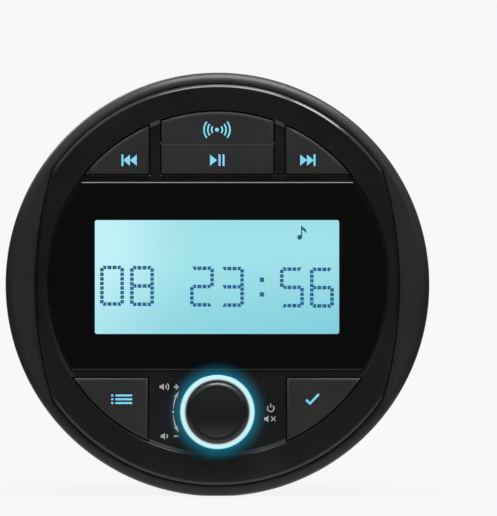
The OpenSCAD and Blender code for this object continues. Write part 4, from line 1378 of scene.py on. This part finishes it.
@dataclass
class Display:
    """Dark lens with its clear window, and the lit panel behind it."""

    lens_radius: float = 42.55
    lens_back: float = 17.5
    lens_front: float = 19.0
    lens_top: float = 25.75
    lens_bottom: float = -21.4
    lens_edge: float = 0.2
    lens_fall: float = 0.12
    lens_turn: float = 15.0
    window: Box = (-30.8, 30.6, -12.4, 16.2)
    window_round: float = 0.55
    pane_drop: float = 0.02
    pane_depth: float = 0.9
    panel: Box = (-32.5, 32.5, -14.3, 18.1)
    panel_back: float = 13.2
    panel_front: float = 15.4
    panel_edge: float = 0.15
    cell_first: float = -29.1
    cell_step: float = 7.55
    cell_size: Point = (5.1, 9.2)
    cell_low: float = -4.9
    cell_droop: float = 0.07
    dot: float = 0.9
    dot_gap: float = 0.26
    colon_dot: float = 1.1
    film_gap: float = 0.01
    film: float = 0.04
    shown: str = "08 23:56"

    def _window_loop(self, s: Shaper, z: float) -> Edges:
        """Makes the window's rounded outline.

        Args:
            s: the mesh that gets it.
            z: its height.

        Returns:
            Its edges.
        """
        x0, x1, y0, y1 = self.window
        r = self.window_round
        points: list[Point] = []
        for cx, cy, a in ((x1 - r, y1 - r, 0), (x0 + r, y1 - r, 90), (x0 + r, y0 + r, 180),
                          (x1 - r, y0 + r, 270)):
            points += arc((cx, cy), r, a, a + 90, 5)
        return s.chain([(x, y, z) for x, y in points], closed=True)[1]

    def lens(self) -> None:
        """Makes the lens, opaque but for its window."""
        s = Shaper()
        s.disc(self.lens_radius, self.lens_back, FACE_CENTRE)
        s.cut(1, self.lens_top, 1)
        s.cut(1, self.lens_bottom, -1)
        s.raise_faces(self.lens_front - self.lens_back)
        s.lip(self.lens_front, self.lens_edge, self.lens_fall, 1)
        flats = [f for f in s.bm.faces if abs(f.normal.z) > 0.99 and len(f.verts) > 100]
        outer = {round(f.calc_center_median().z, 2): list(f.edges) for f in flats}
        bmesh.ops.delete(s.bm, geom=flats, context="FACES_ONLY")
        top = self._window_loop(s, self.lens_front)
        s.fill(outer[self.lens_front] + top)
        s.fill(outer[self.lens_back] + s.sink(top, self.lens_front - self.lens_back))
        s.tidy()
        # The lens's lower rounded edges get the painted highlight.
        for f in s.bm.faces:
            f.material_index = int(f[s.rim] > 0.5 and f.normal.y < -0.3)
        s.stand()
        finish_piece(s, "lens_mask", (LENS, LENS_EDGE_HIGHLIGHT), Body.STEREO,
                     ("display_lens",), self.lens_turn)

    def pane(self) -> None:
        """Makes the clear pane in the lens's window."""
        s = Shaper()
        s.fill(self._window_loop(s, self.lens_front - self.pane_drop))
        s.raise_faces(-self.pane_depth)
        s.settle()
        finish_piece(s, "lens_window", (PANE,), Body.STEREO)

    def lit_panel(self) -> None:
        """Makes the lit panel, a slab with ground edges."""
        s = Shaper()
        x0, x1, y0, y1 = self.panel
        s.bm.faces.new([s.bm.verts.new((x, y, self.panel_back))
                        for x, y in ((x0, y0), (x1, y0), (x1, y1), (x0, y1))])
        s.raise_faces(self.panel_front - self.panel_back)
        s.tidy()
        s.soften(s.sharp(), self.panel_edge)
        s.stand()
        finish_piece(s, "display_panel", (PANEL,), Body.STEREO, ("lcd_glass",))

    def _digit(self, s: Legend, sign: str, x: float, y: float) -> None:
        """Adds one sign as rows of four dots along seven strokes.

        Args:
            s: the marks so far.
            sign: a digit or a colon.
            x: the cell's left edge.
            y: the cell's lower edge.
        """
        w, h = self.cell_size
        if sign == ":":
            for share in (0.3, 0.7):
                s.bar((x + w / 2, y + h * share), self.colon_dot, self.colon_dot)
            return
        level = {"a": y + h, "g": y + h / 2, "d": y}
        wide, tall = w / 8 - self.dot_gap / 2, h / 16 - self.dot_gap / 2
        for stroke in STROKES[sign]:
            rise = self.dot / 2 * (-1 if stroke == "d" else 1)
            side = x + (w if stroke in "bc" else 0.0)
            base = y + (h / 2 if stroke in "bf" else 0.0)
            for i in range(4):
                if stroke in level:
                    left, right = (0.0 if i == 0 else -wide), (0.0 if i == 3 else wide)
                    s.mark(((left, -rise), (right, -rise), (wide, rise), (-wide, rise)),
                           (x + w * (i + 0.5) / 4, level[stroke]))
                else:
                    s.bar((side, base + h / 2 * (i + 0.5) / 4), self.dot, 2 * tall)

    def digits(self) -> None:
        """Makes the dark dots of the shown figures and of a plain note sign."""
        s = Legend()
        for i, sign in enumerate(self.shown):
            if sign != " ":
                self._digit(s, sign, self.cell_first + i * self.cell_step,
                            self.cell_low - i * self.cell_droop)
        s.dot((20.7, 11.9), 0.62, 16)
        s.bar((21.2, 13.3), 0.3, 3.0)
        s.mark(((21.05, 14.8), (21.05, 14.1), (22.5, 12.9), (22.25, 13.9)))
        s.print_on("display_figures", DOTS, Body.STEREO, "lcd_lit",
                   self.panel_front + self.film_gap, self.film)

    def build(self) -> None:
        """Makes the lens, its pane, the lit panel and its figures."""
        for make in (self.lens, self.pane, self.lit_panel, self.digits):
            make()


@dataclass
class Keys:
    """Four sliding keys and a rocking key, with their lit signs."""

    radius: float = 43.15
    steps: int = 360
    back: float = 15.01
    front: float = 19.6
    edge: float = 0.8
    fall: float = 0.3
    corner_reach: float = 3.0
    flange: float = 0.8
    flange_top: float = 16.1
    top_row: float = 27.7
    low_row: float = -23.5
    rocker_half: float = 14.1
    side_key: float = 17.2
    low_key: float = 17.5
    pivot: Point = (35.3, 17.4)
    pin_half: float = 0.7
    pin_steps: int = 24
    pin_section: tuple[Point, ...] = ((0.0, -0.7), (0.45, -0.7), (0.6, -0.55), (0.6, 0.7),
                                      (0.0, 0.7))
    crease_half: float = 0.34
    crease_depth: float = 0.085
    rocker_turn: float = 18.0
    slider_turn: float = 40.0
    icon_row: float = 31.25

    def _boxes(self) -> dict[Body, Box]:
        """Works out each key's left, right, bottom and top.

        Returns:
            The sides by key.
        """
        r = self.radius
        return {
            Body.PREV: (-r, -self.side_key, self.top_row, r),
            Body.ROCKER: (-self.rocker_half, self.rocker_half, self.top_row, r),
            Body.NEXT: (self.side_key, r, self.top_row, r),
            Body.MODE: (-r, -self.low_key, -r, self.low_row),
            Body.SELECT: (self.low_key, r, -r, self.low_row),
        }

    def _blank(self, box: Box, radius: float, high: float) -> Shaper:
        """Makes a key's block: a disc cut straight along the key's sides.

        Args:
            box: the key's left, right, bottom and top.
            radius: the disc's radius.
            high: the block's front.

        Returns:
            The block.
        """
        s = Shaper()
        s.disc(radius, self.back, FACE_CENTRE, self.steps)
        for place, axis, clear in zip(box, (0, 0, 1, 1), (-1, 1, -1, 1)):
            if abs(place) < radius - NEAR:
                s.cut(axis, place, clear)
        s.ease_corners(self.corner_reach)
        s.raise_faces(high - self.back)
        s.tidy()
        return s

    def _rocking(self, s: Shaper) -> None:
        """Folds a shallow crease across the rocking key and adds its two pins.

        Args:
            s: the key's mesh.
        """
        y = self.pivot[0]
        for place in (y - self.crease_half, y, y + self.crease_half):
            s.cut(1, place)
        least = self.front - self.fall + TOUCH
        s.shift([v for v in s.bm.verts if abs(v.co.y - y) < TOUCH and v.co.z > least],
                -self.crease_depth)
        for side in (-1, 1):
            pin = Shaper()
            pin.lathe(self.pin_section, steps=self.pin_steps)
            turn = Matrix.Rotation(-side * math.pi / 2, 4, "Y")
            place = Matrix.Translation((side * (self.rocker_half + self.pin_half), *self.pivot))
            bmesh.ops.transform(pin.bm, matrix=place @ turn, verts=pin.bm.verts)
            s.join(pin)

    def key(self, body: Body, box: Box) -> None:
        """Makes one key.

        Args:
            body: what it rides on.
            box: its left, right, bottom and top.
        """
        name = body.name.lower()
        node, turn = f"{name}_button", self.slider_turn
        s = self._blank(box, self.radius, self.front)
        s.lip(self.front, self.edge, self.fall, 3)
        if body is Body.ROCKER:
            self._rocking(s)
            node, turn = "rocker_key", self.rocker_turn
        else:
            f = self.flange
            wide = (box[0] - f, box[1] + f, box[2] - f, box[3] + f)
            s.join(self._blank(wide, self.radius + f, self.flange_top))
        s.settle()
        finish_piece(s, f"{name}_key_cap", (KEY,), body, (node,), turn)

    def _skip(self, s: Legend, at: Point, way: int) -> None:
        """Adds two triangles and a bar.

        Args:
            s: the marks so far.
            at: their middle.
            way: -1 to point left, 1 to point right.
        """
        for shift in (-0.65, 1.05):
            s.mark(((way * (shift - 0.85), -1.4), (way * (shift + 0.85), 0.0),
                    (way * (shift - 0.85), 1.4))[::way], at)
        s.bar((at[0] + way * 2.1, at[1]), 0.5, 2.9)

    def signs(self) -> None:
        """Makes the signs printed on the keys."""
        y, hub, rows = self.icon_row, (-0.1, 38.9), -28.8
        prev, following, play, radio, listed, chosen = (Legend() for _ in range(6))
        self._skip(prev, (-21.75, y), -1)
        self._skip(following, (22.3, y), 1)
        play.mark(((-1.85, -1.4), (-0.1, 0.0), (-1.85, 1.4)), (0.0, y))
        for x in (0.55, 1.55):
            play.bar((x, y), 0.5, 2.9)
        radio.dot(hub, 0.5)
        for r in (1.35, 2.3, 3.25):
            for start in (-38, 142):
                radio.bow(hub, r, 0.42, start, start + 76)
        for i in (-1, 0, 1):
            listed.bar((-26.4, rows + i * 0.95), 0.55, 0.5)
            listed.bar((-23.5, rows + i * 0.95), 4.2, 0.5)
        chosen.stroke((22.3, -28.9), (23.35, -30.0), 0.55)
        chosen.stroke((23.15, -30.0), (25.5, -27.5), 0.55)
        for name, marks, body in (("prev", prev, Body.PREV), ("next", following, Body.NEXT),
                                  ("play", play, Body.ROCKER), ("radio", radio, Body.ROCKER),
                                  ("list", listed, Body.MODE), ("choose", chosen, Body.SELECT)):
            marks.print_on(f"{name}_sign", CYAN, body, "ring_glow", self.front)

    def build(self) -> None:
        """Makes the keys and their signs."""
        for body, box in self._boxes().items():
            self.key(body, box)
        self.signs()


@dataclass
class KeyMats:
    """Silicone mats under the keys, split between the keys into one stretch under each key."""

    edge: float = 0.12
    seam: float = 15.65
    end: float = 60.0
    sheet_top: float = 10.3
    ceiling: float = 11.2

    def stretch(self, node: str, body: Body, span: Point, stands: bool) -> None:
        """Makes the stretch of a mat under one key.

        Args:
            node: the CAD node of the whole mat.
            body: the key that it lies under, which gives its name.
            span: where it begins and ends along x.
            stands: whether it stands for the node in the frame.
        """
        s = refined(node, self.edge)
        bmesh.ops.transform(s.bm, matrix=UPRIGHT.inverted(), verts=s.bm.verts)
        for place, clear in zip(span, (-1, 1)):
            s.cut(0, place, clear)
        bmesh.ops.holes_fill(s.bm, edges=[e for e in s.bm.edges if e.is_boundary])
        s.settle()
        piece = finish_piece(s, f"{body.name.lower()}_mat", (SILICONE,), None,
                             (node,) if stands else ())
        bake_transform(piece)

    def build(self) -> None:
        """Makes the three stretches of the top mat and the two of the bottom one."""
        top, low = "keypad_top", "keypad_bottom"
        self.stretch(top, Body.PREV, (-self.end, -self.seam), True)
        self.stretch(top, Body.ROCKER, (-self.seam, self.seam), False)
        self.stretch(top, Body.NEXT, (self.seam, self.end), False)
        self.stretch(low, Body.MODE, (-self.end, 0.0), True)
        self.stretch(low, Body.SELECT, (0.0, self.end), False)


@dataclass
class VolumeKnob:
    """Dished push knob in its lit ring, with the printed signs beside it."""

    radius: float = 7.5
    back: float = 17.2
    front: float = 28.5
    rim: float = 0.85
    rim_tilt: float = 45.0
    edge: float = 0.2
    dish: float = 0.62
    wall: float = 1.1
    roof: float = 21.5
    flutes: int = 72
    flute_depth: float = 0.14
    flute_top: float = 1.55
    flute_foot: float = 0.85
    flute_fade: float = 0.15
    foot_edge: tuple[Point, ...] = ((0.06, 0.06), (0.2, 0.0))
    sharp_turn: float = 24.0
    ring_bore: float = 3.7
    ring_inner: float = 7.75
    ring_outer: float = 9.3
    ring_flange: float = 10.8
    ring_back: float = 15.2
    ring_base: float = 16.2
    ring_front: float = 18.9
    ring_swell: float = 0.28
    ring_steps: int = 144
    floor: float = 18.6
    film: float = 0.02
    line: float = 0.27
    bold: float = 0.34
    arrow_radius: float = 11.1

    def knob(self) -> None:
        """Makes the knob: a spun section with fine flutes round its side."""
        s = Shaper()
        tilt = math.radians(self.rim_tilt)
        swell = self.rim / math.sin(tilt)
        chord = self.radius - self.rim - self.edge * (1 - math.sin(tilt))
        brow = self.front - swell * (1 - math.cos(tilt)) - self.edge * math.cos(tilt)
        bowl = (chord * chord + self.dish * self.dish) / (2 * self.dish)
        low = self.front - self.dish
        face = [(r, low + bowl - math.sqrt(bowl * bowl - r * r))
                for r in (chord * i / 10 for i in range(11))]
        edge = arc((chord, self.front - swell), swell, 90, 90 - self.rim_tilt, 6)
        edge += arc((self.radius - self.edge, brow), self.edge, 90 - self.rim_tilt, 0, 4)[1:]
        flute_top, flute_foot = self.front - self.flute_top, self.back + self.flute_foot
        side = [(self.radius, z + fade) for z in (flute_top, flute_foot)
                for fade in (self.flute_fade, -self.flute_fade)]
        side += [(self.radius - inset, self.back + rise) for inset, rise in self.foot_edge]
        inside = [(self.radius - self.wall, self.back), (self.radius - self.wall, self.roof),
                  (0.0, self.roof)]
        s.lathe(face + edge[1:] + side + inside, KNOB, 2 * self.flutes)
        for v in s.bm.verts:
            x, y = v.co.x - KNOB[0], v.co.y - KNOB[1]
            column = round(math.atan2(y, x) / math.tau * 2 * self.flutes)
            on_side = flute_foot < v.co.z < flute_top
            if on_side and column % 2 and math.hypot(x, y) > self.radius - TOUCH:
                v.co.x -= x / self.radius * self.flute_depth
                v.co.y -= y / self.radius * self.flute_depth
        s.settle()
        finish_piece(s, "knob_cap", (KNOB_BLACK,), Body.KNOB, ("volume_knob",),
                     self.sharp_turn)

    def ring(self) -> None:
        """Makes the light guide: a rounded ring on its flange."""
        s = Shaper()
        mid = (self.ring_inner + self.ring_outer) / 2
        half = (self.ring_outer - self.ring_inner) / 2
        low = self.ring_front - self.ring_swell
        swell = [(mid + half * math.cos(t), low + self.ring_swell * math.sin(t))
                 for t in (math.pi * i / 12 for i in range(13))]
        section = [(self.ring_bore, self.ring_back), (self.ring_flange, self.ring_back),
                   (self.ring_flange, self.ring_base), (self.ring_outer, self.ring_base)]
        section += swell + [(self.ring_inner, self.ring_base), (self.ring_bore, self.ring_base)]
        s.lathe(section, KNOB, self.ring_steps, closed=True)
        s.settle()
        finish_piece(s, "knob_light_ring", (RING,), Body.STEREO, ("light_ring",))

    def _speaker(self, s: Legend, at: Point, waves: int = 0) -> None:
        """Adds a small loudspeaker sign with its sound waves.

        Args:
            s: the marks so far.
            at: its middle.
            waves: how many waves it sends out.
        """
        s.bar((at[0] - 0.72, at[1]), 0.44, 0.7)
        s.mark(((-0.5, -0.35), (0.12, -0.85), (0.12, 0.85), (-0.5, 0.35)), at)
        for i in range(waves):
            s.bow((at[0] + 0.05, at[1]), 0.7 + 0.6 * i, self.line, -42, 42, 10)

    def _turn_arrow(self, s: Legend, way: int) -> None:
        """Adds a tapered arrow that runs round the knob.

        Args:
            s: the marks so far.
            way: 1 to run up, -1 to run down.
        """
        def at(radius: float, turn: float) -> Point:
            """Finds a point round the knob, by degrees from its left."""
            a = math.radians(180 - way * turn)
            return KNOB[0] + radius * math.cos(a), KNOB[1] + radius * math.sin(a)

        r, inner, outer = self.arrow_radius, [], []
        for i in range(13):
            w = 0.05 + 0.16 * i / 12
            inner.append(at(r - w, 3.5 + 17 * i / 12))
            outer.append(at(r + w, 3.5 + 17 * i / 12))
        s.mark(inner + outer[::-1])
        s.mark([at(r - 0.42, 19), at(r - 0.1, 28.5), at(r + 0.48, 19)])

    def signs(self) -> None:
        """Makes the plain signs printed on the floor beside the knob."""
        s = Legend()
        plus, minus = (-10.3, -25.7), (-10.4, -38.1)
        self._speaker(s, (-13.6, plus[1]), 2)
        s.bar(plus, 1.3, self.bold)
        for rise in (0.41, -0.41):
            s.bar((plus[0], plus[1] + rise), self.bold, 0.48)
        self._speaker(s, (-13.3, minus[1]), 1)
        s.bar(minus, 1.2, self.bold)
        s.dot((-self.arrow_radius, KNOB[1]), 0.3, 12)
        for way in (1, -1):
            self._turn_arrow(s, way)
        s.bow((13.4, -31.1), 0.82, self.line, 130, 410, 22)
        s.bar((13.4, -30.4), self.line, 1.0)
        self._speaker(s, (12.7, -33.75))
        for first, last in (((13.5, -34.3), (14.6, -33.2)), ((13.5, -33.2), (14.6, -34.3))):
            s.stroke(first, last, self.line)
        s.print_on("floor_signs", SILVER, Body.STEREO, "lamp_white", self.floor, self.film)

    def build(self) -> None:
        """Makes the knob, its lit ring and the signs."""
        for make in (self.knob, self.ring, self.signs):
            make()


@dataclass
class RearCan:
    """Round can behind the dash with its gasket and finned cover."""

    screw_ring: float = 31.5
    screw_angles: tuple[int, ...] = (50, 130, 208, 332)
    cover_back: float = -38.0
    head_radius: float = 2.8
    head_height: float = 2.2
    head_round: float = 0.8
    head_side: float = 1.0
    head_steps: int = 24
    thread_radius: float = 1.5
    thread_tip: float = -22.5
    socket_steps: tuple[Point, ...] = ((1.3, 0.0), (1.22, 0.1), (1.2, 1.3))
    parts: tuple[Softened, ...] = (
        Softened("can_shell", "housing", CAN, "housing_black", 0.3, held=False),
        Softened("dash_gasket", "panel_gasket", RUBBER, "seal_black", 0.3, held=False),
        Softened("finned_cover", "rear_cover", CASTING, "sink_black", 0.2, held=False))

    def screws(self) -> None:
        """Makes the cover's pan-head screws with hexagon sockets."""
        s = Shaper()
        r, z, top = self.head_radius, self.cover_back, self.cover_back - self.head_height
        shoulder = (r - self.head_round, top + self.head_round)
        for degrees in self.screw_angles:
            a = math.radians(degrees)
            at = (self.screw_ring * math.cos(a), self.screw_ring * math.sin(a))
            profile = [(self.thread_radius, self.thread_tip), (self.thread_radius, z), (r, z),
                       (r, top + self.head_side), *arc(shoulder, self.head_round, 0, -90, 5)[1:]]
            rings: list[Ring] = [(RoundLine(q, at), k) for q, k in profile]
            rings += [(HexLine(q, at), top + k) for q, k in self.socket_steps]
            for ends in s.wall(rings, self.head_steps):
                s.fill(ends)
        s.settle()
        finish_piece(s, "cover_screws", (STEEL,), Body.STEREO, ("rear_screws",))

    def build(self) -> None:
        """Makes the can, its gasket, its cover and the cover's screws."""
        for part in self.parts:
            part.build()
        self.screws()


@dataclass
class Sockets:
    """Harness socket and pins, line sockets and antenna socket on the rear cover."""

    parts: tuple[Softened, ...] = (
        Softened("harness_shell", "harness_socket", NYLON, "socket_cream", 0.18),
        Softened("harness_contacts", "harness_pins", PIN, "pin_brass", 0.12),
        Softened("line_jacks", "jack_shells", GOLD, "jack_gold", 0.12),
        Softened("left_jack_core", "left_jack_insulator", WHITE, "jack_white", 0.15),
        Softened("right_jack_core", "right_jack_insulator", RED, "jack_red", 0.15),
        Softened("antenna_jack", "antenna_socket", NICKEL, "socket_nickel", 0.15),
        Softened("antenna_core", "antenna_insulator", BLACK, "insulator_black", 0.15))

    def build(self) -> None:
        """Makes the sockets."""
        for part in self.parts:
            part.build()


@dataclass
class Clamp:
    """U-bracket on two threaded studs with thumb nuts."""

    stud_x: float = 20.0
    stud_radius: float = 2.5
    stud_core: float = 2.08
    stud_end: float = -68.0
    cover_back: float = -38.0
    cover_front: float = -35.0
    head_radius: float = 4.5
    head_top: float = -33.4
    head_edge: float = 0.4
    tip_edge: float = 0.5
    neck: float = 0.1
    stud_steps: int = 48
    pitch: float = 0.8
    ridge_sink: float = 0.02
    ridge_foot: Point = (0.02, 0.78)
    ridge_top: Point = (0.33, 0.47)
    turn_steps: int = 24
    leg_x: float = 44.0
    strap_t: float = 2.0
    strap_w: float = 14.0
    strap_front: float = -47.0
    strap_edge: float = 0.35
    dash_back: float = -6.0
    foot_x: float = 52.0
    bend: float = 2.6
    parts: tuple[Softened, ...] = (
        Softened("clamp_washers", "bracket_washers", STEEL, "turned_steel", 0.15, Body.BRACKET),
        Softened("left_nut_cap", "left_thumb_nut", BRASS, "nut_brass", 0.18, Body.LEFT_NUT),
        Softened("right_nut_cap", "right_thumb_nut", BRASS, "nut_brass", 0.18, Body.RIGHT_NUT))

    def studs(self) -> None:
        """Makes the studs, each with a rolled thread along its free length."""
        s = Shaper()
        turns = int((self.cover_back - self.stud_end - 1.0) / self.pitch)
        core, r, head, edge = self.stud_core, self.stud_radius, self.head_radius, self.tip_edge
        end, top, back = self.stud_end, self.stud_end + edge, self.cover_back
        stud = ((0.0, end), (core - edge, end), (core, top), (core, back - edge),
                (r, back - self.neck), (r, self.cover_front), (head, self.cover_front),
                (head, self.head_top + self.head_edge), (head - self.head_edge, self.head_top),
                (0.0, self.head_top))
        foot = core - self.ridge_sink
        ridge = ((foot, self.ridge_foot[0]), (r, self.ridge_top[0]), (r, self.ridge_top[1]),
                 (foot, self.ridge_foot[1]))
        for x in (-self.stud_x, self.stud_x):
            s.lathe(stud, (x, 0.0), self.stud_steps)
            verts, edges = s.chain([(x + q, 0.0, top + z) for q, z in ridge], closed=True)
            made = bmesh.ops.spin(s.bm, geom=verts + edges, cent=(x, 0.0, 0.0), axis=UP,
                                  dvec=(0.0, 0.0, self.pitch / self.turn_steps),
                                  angle=math.tau * turns, steps=self.turn_steps * turns)
            for end in (edges, pick(made["geom_last"], bmesh.types.BMEdge)):
                bmesh.ops.contextual_create(s.bm, geom=end)
        s.settle()
        finish_piece(s, "clamp_studs", (TURNED,), Body.STEREO, ("mounting_studs",))

    def bracket(self) -> None:
        """Makes the bracket: a bent strip, given its thickness."""
        s = Shaper()
        mid = self.strap_t / 2
        leg, back, foot = self.leg_x + mid, self.strap_front - mid, self.dash_back - mid
        half = [(0.0, back)]
        half += arc((leg - self.bend, back + self.bend), self.bend, -90, 0, 6)
        half += arc((leg + self.bend, foot - self.bend), self.bend, 180, 90, 6)
        half += [(self.foot_x, foot)]
        path = [(-x, z) for x, z in half[:0:-1]] + half
        _, edges = s.chain([(x, -self.strap_w / 2, z) for x, z in path])
        made = bmesh.ops.extrude_edge_only(s.bm, edges=edges)["geom"]
        far_side = pick(made, bmesh.types.BMVert)
        bmesh.ops.translate(s.bm, verts=far_side, vec=(0.0, self.strap_w, 0.0))
        bmesh.ops.recalc_face_normals(s.bm, faces=s.bm.faces)
        bmesh.ops.solidify(s.bm, geom=s.bm.faces[:], thickness=self.strap_t)
        s.tidy()
        lowest = min(v.co.z for v in s.bm.verts)
        s.shift(s.bm.verts, self.strap_front - self.strap_t - lowest)
        s.soften(s.sharp(), self.strap_edge)
        s.stand()
        finish_piece(s, "clamp_bracket", (STRAP,), Body.BRACKET,
                     ("mounting_bracket",))

    def build(self) -> None:
        """Makes the studs, the bracket, the washers and the nuts."""
        self.studs()
        self.bracket()
        for part in self.parts:
            part.build()


@dataclass
class InnerWorks:
    """Pieces inside the can, whose CAD shapes stay and get their finishes."""

    dressing: dict[str, Finish] = field(default_factory=lambda: {
        "lcd_frame": WHITE_MOULD, "backlight_guide": GUIDE, "backlight_leds": LAMP,
        "contact_strips": STRIP, "front_board": BOARD, "front_board_screws": STEEL,
        "front_screws": STEEL, "prev_pill": CARBON, "rocker_pills": CARBON, "next_pill": CARBON,
        "mode_pill": CARBON, "select_pill": CARBON, "encoder_body": ZINC, "encoder_rotor": WHITE,
        "encoder_shaft": TURNED, "ring_leds": LAMP, "face_seal": RUBBER, "main_board": BOARD,
        "main_board_screws": STEEL, "tuner_module": TIN, "filter_capacitors": SLEEVE,
        "amp_chip": CHIP, "thermal_pad": PAD, "ribbon_cable": CREAM, "ribbon_sockets": NYLON,
        "rear_seal": RUBBER,
    })

    def build(self) -> None:
        """Gives each inner node its finish."""
        for node, finish in self.dressing.items():
            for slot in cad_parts[node].material_slots:
                slot.material = finish.material()
            log.info("%s: %s", node, finish.name)


@dataclass
class Lamp:
    """Soft lamp that faces the stereo. Its size is in metres."""

    name: str
    place: tuple[float, float, float]
    size: Point
    radiance: float

    def build(self) -> None:
        """Hangs the lamp, out of the camera's sight."""
        data = bpy.data.lights.new(self.name, "AREA")
        data.shape = "RECTANGLE"
        data.size, data.size_y = self.size
        data.energy = self.radiance * self.size[0] * self.size[1] * math.pi
        obj = bpy.data.objects.new(self.name, data)
        obj.location = self.place
        obj.rotation_euler = (-Vector(self.place)).to_track_quat("-Z", "Y").to_euler()
        obj.visible_camera = False
        bpy.context.scene.collection.objects.link(obj)


@dataclass
class Studio:
    """Pale floor, soft light and the camera. Its lengths are in metres."""

    floor_height: float
    pale: float = 0.94
    distance: float = 1.5
    aim: Point = (0.00782, 0.00668)
    tall: float = 0.1296
    face: float = 0.0195
    sensor: float = 36.0
    floor_reach: float = 0.45
    floor_keep: float = 0.74
    floor_base: float = 0.23
    floor_matt: float = 0.10
    shadow_span: Point = (0.12, 0.40)
    mirror_span: Point = (0.06, 0.13)
    behind_span: Point = (0.6, 0.98)
    behind_shine: float = 0.35
    above_span: Point = (0.15, 0.95)
    room_light: Point = (0.03, 0.9)
    lamps: tuple[Lamp, ...] = (
        Lamp("overhead", (0.06, -0.34, 0.95), (0.7, 0.75), 9.6),
        Lamp("front_panel", (0.2, -1.6, 0.95), (2.4, 1.2), 0.8),
        Lamp("right_kicker", (0.49, -0.04, 0.85), (0.10, 0.26), 20.0),
        Lamp("rear_fill", (-0.7, 1.1, 0.9), (0.9, 0.6), 4.0))

    def _seen(self, n: Nodes, glossy: Socket) -> Socket:
        """Makes a mask of the rays that see the background.

        Args:
            n: the tree's nodes.
            glossy: a mask of where reflections see it too.

        Returns:
            The mask.
        """
        path = n.add("LightPath").outputs
        shine = n.calc("MULTIPLY", path["Is Glossy Ray"], glossy)
        direct = n.calc("MAXIMUM", path["Is Camera Ray"], path["Is Transmission Ray"])
        return n.calc("MAXIMUM", direct, shine)

    def _mix(self, n: Nodes, out: str, share: Socket, shaders: Sequence[bpy.types.Node]) -> None:
        """Mixes two shaders and puts them out.

        Args:
            n: the tree's nodes.
            out: the type of the output node.
            share: the second one's share.
            shaders: the two shaders.
        """
        mix = n.add("MixShader")
        for target, value in zip(mix.inputs, (share, *(s.outputs[0] for s in shaders))):
            n.feed(target, value)
        n.add(out, Surface=mix.outputs[0])

    def floor(self) -> None:
        """Makes the pale floor, which keeps a soft shadow near the stereo."""
        bm = bmesh.new()
        bmesh.ops.create_circle(bm, cap_ends=True, radius=self.floor_reach, segments=64,
                                matrix=Matrix.Translation((0.0, 0.0, self.floor_height)))
        mesh = bpy.data.meshes.new("floor")
        bm.to_mesh(mesh)
        bm.free()
        mat = bpy.data.materials.new("floor_pale")
        mat.use_nodes = True
        n = Nodes(mat.node_tree)
        far = n.length(n.add("TexCoord").outputs["Object"])
        fade = n.ranged(far, self.shadow_span, (self.floor_keep, 1.0), smooth=True)
        near = n.ranged(far, self.mirror_span, (1.0, 0.0), smooth=True)
        level = n.calc("ADD", n.calc("DIVIDE", 1.0 - self.floor_base, fade), self.floor_base)
        matt = n.add("BsdfDiffuse", Color=opaque((self.floor_matt,) * 3))
        plain = n.add("Emission", Color=opaque((self.pale,) * 3), Strength=level)
        share = n.calc("MULTIPLY", self._seen(n, near), fade)
        self._mix(n, "OutputMaterial", share, (matt, plain))
        mesh.materials.append(mat)
        obj = bpy.data.objects.new("floor", mesh)
        bpy.context.scene.collection.objects.link(obj)
        obj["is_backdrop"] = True

    def world(self) -> None:
        """Makes the surroundings: pale behind the stereo, a dim room in front of its face."""
        world = bpy.data.worlds.new("studio")
        bpy.context.scene.world = world
        world.use_nodes = True
        n = Nodes(world.node_tree)
        split = n.add("SeparateXYZ", Vector=n.add("TexCoord").outputs["Generated"]).outputs
        behind = n.ranged(split["Y"], self.behind_span, (0.0, self.behind_shine), smooth=True)
        above = n.ranged(split["Z"], self.above_span, self.room_light, smooth=True)
        room = n.add("Background", Color=above, Strength=1.0)
        pale = n.add("Background", Color=opaque((self.pale,) * 3), Strength=1.0)
        self._mix(n, "OutputWorld", self._seen(n, behind), (room, pale))

    def camera(self) -> None:
        """Makes the camera, straight in front of the face with a long lens."""
        data = bpy.data.cameras.new("camera")
        data.sensor_width = self.sensor
        data.lens = self.sensor * (self.distance - self.face) / self.tall
        data.clip_end = 200.0
        obj = bpy.data.objects.new("camera", data)
        obj.location = (self.aim[0], -self.distance, self.aim[1])
        obj.rotation_euler = (math.pi / 2, 0.0, 0.0)
        bpy.context.scene.collection.objects.link(obj)
        bpy.context.scene.camera = obj

    def build(self) -> None:
        """Makes the floor, the surroundings, the lamps and the camera."""
        self.floor()
        self.world()
        for lamp in self.lamps:
            lamp.build()
        self.camera()
        bpy.context.scene.view_settings.view_transform = "Standard"


def main() -> None:
    """Builds the stereo, dresses its inner parts and sets up the studio."""
    logging.basicConfig(level=logging.INFO, format="%(name)s: %(message)s")
    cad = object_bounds()
    for part in (TrimRing(), Faceplate(), Display(), Keys(), KeyMats(), VolumeKnob(), RearCan(),
                 Sockets(), Clamp(), InnerWorks(), Studio(cad[0].z - 0.0002)):
        part.build()


if __name__ == "__main__":
    main()
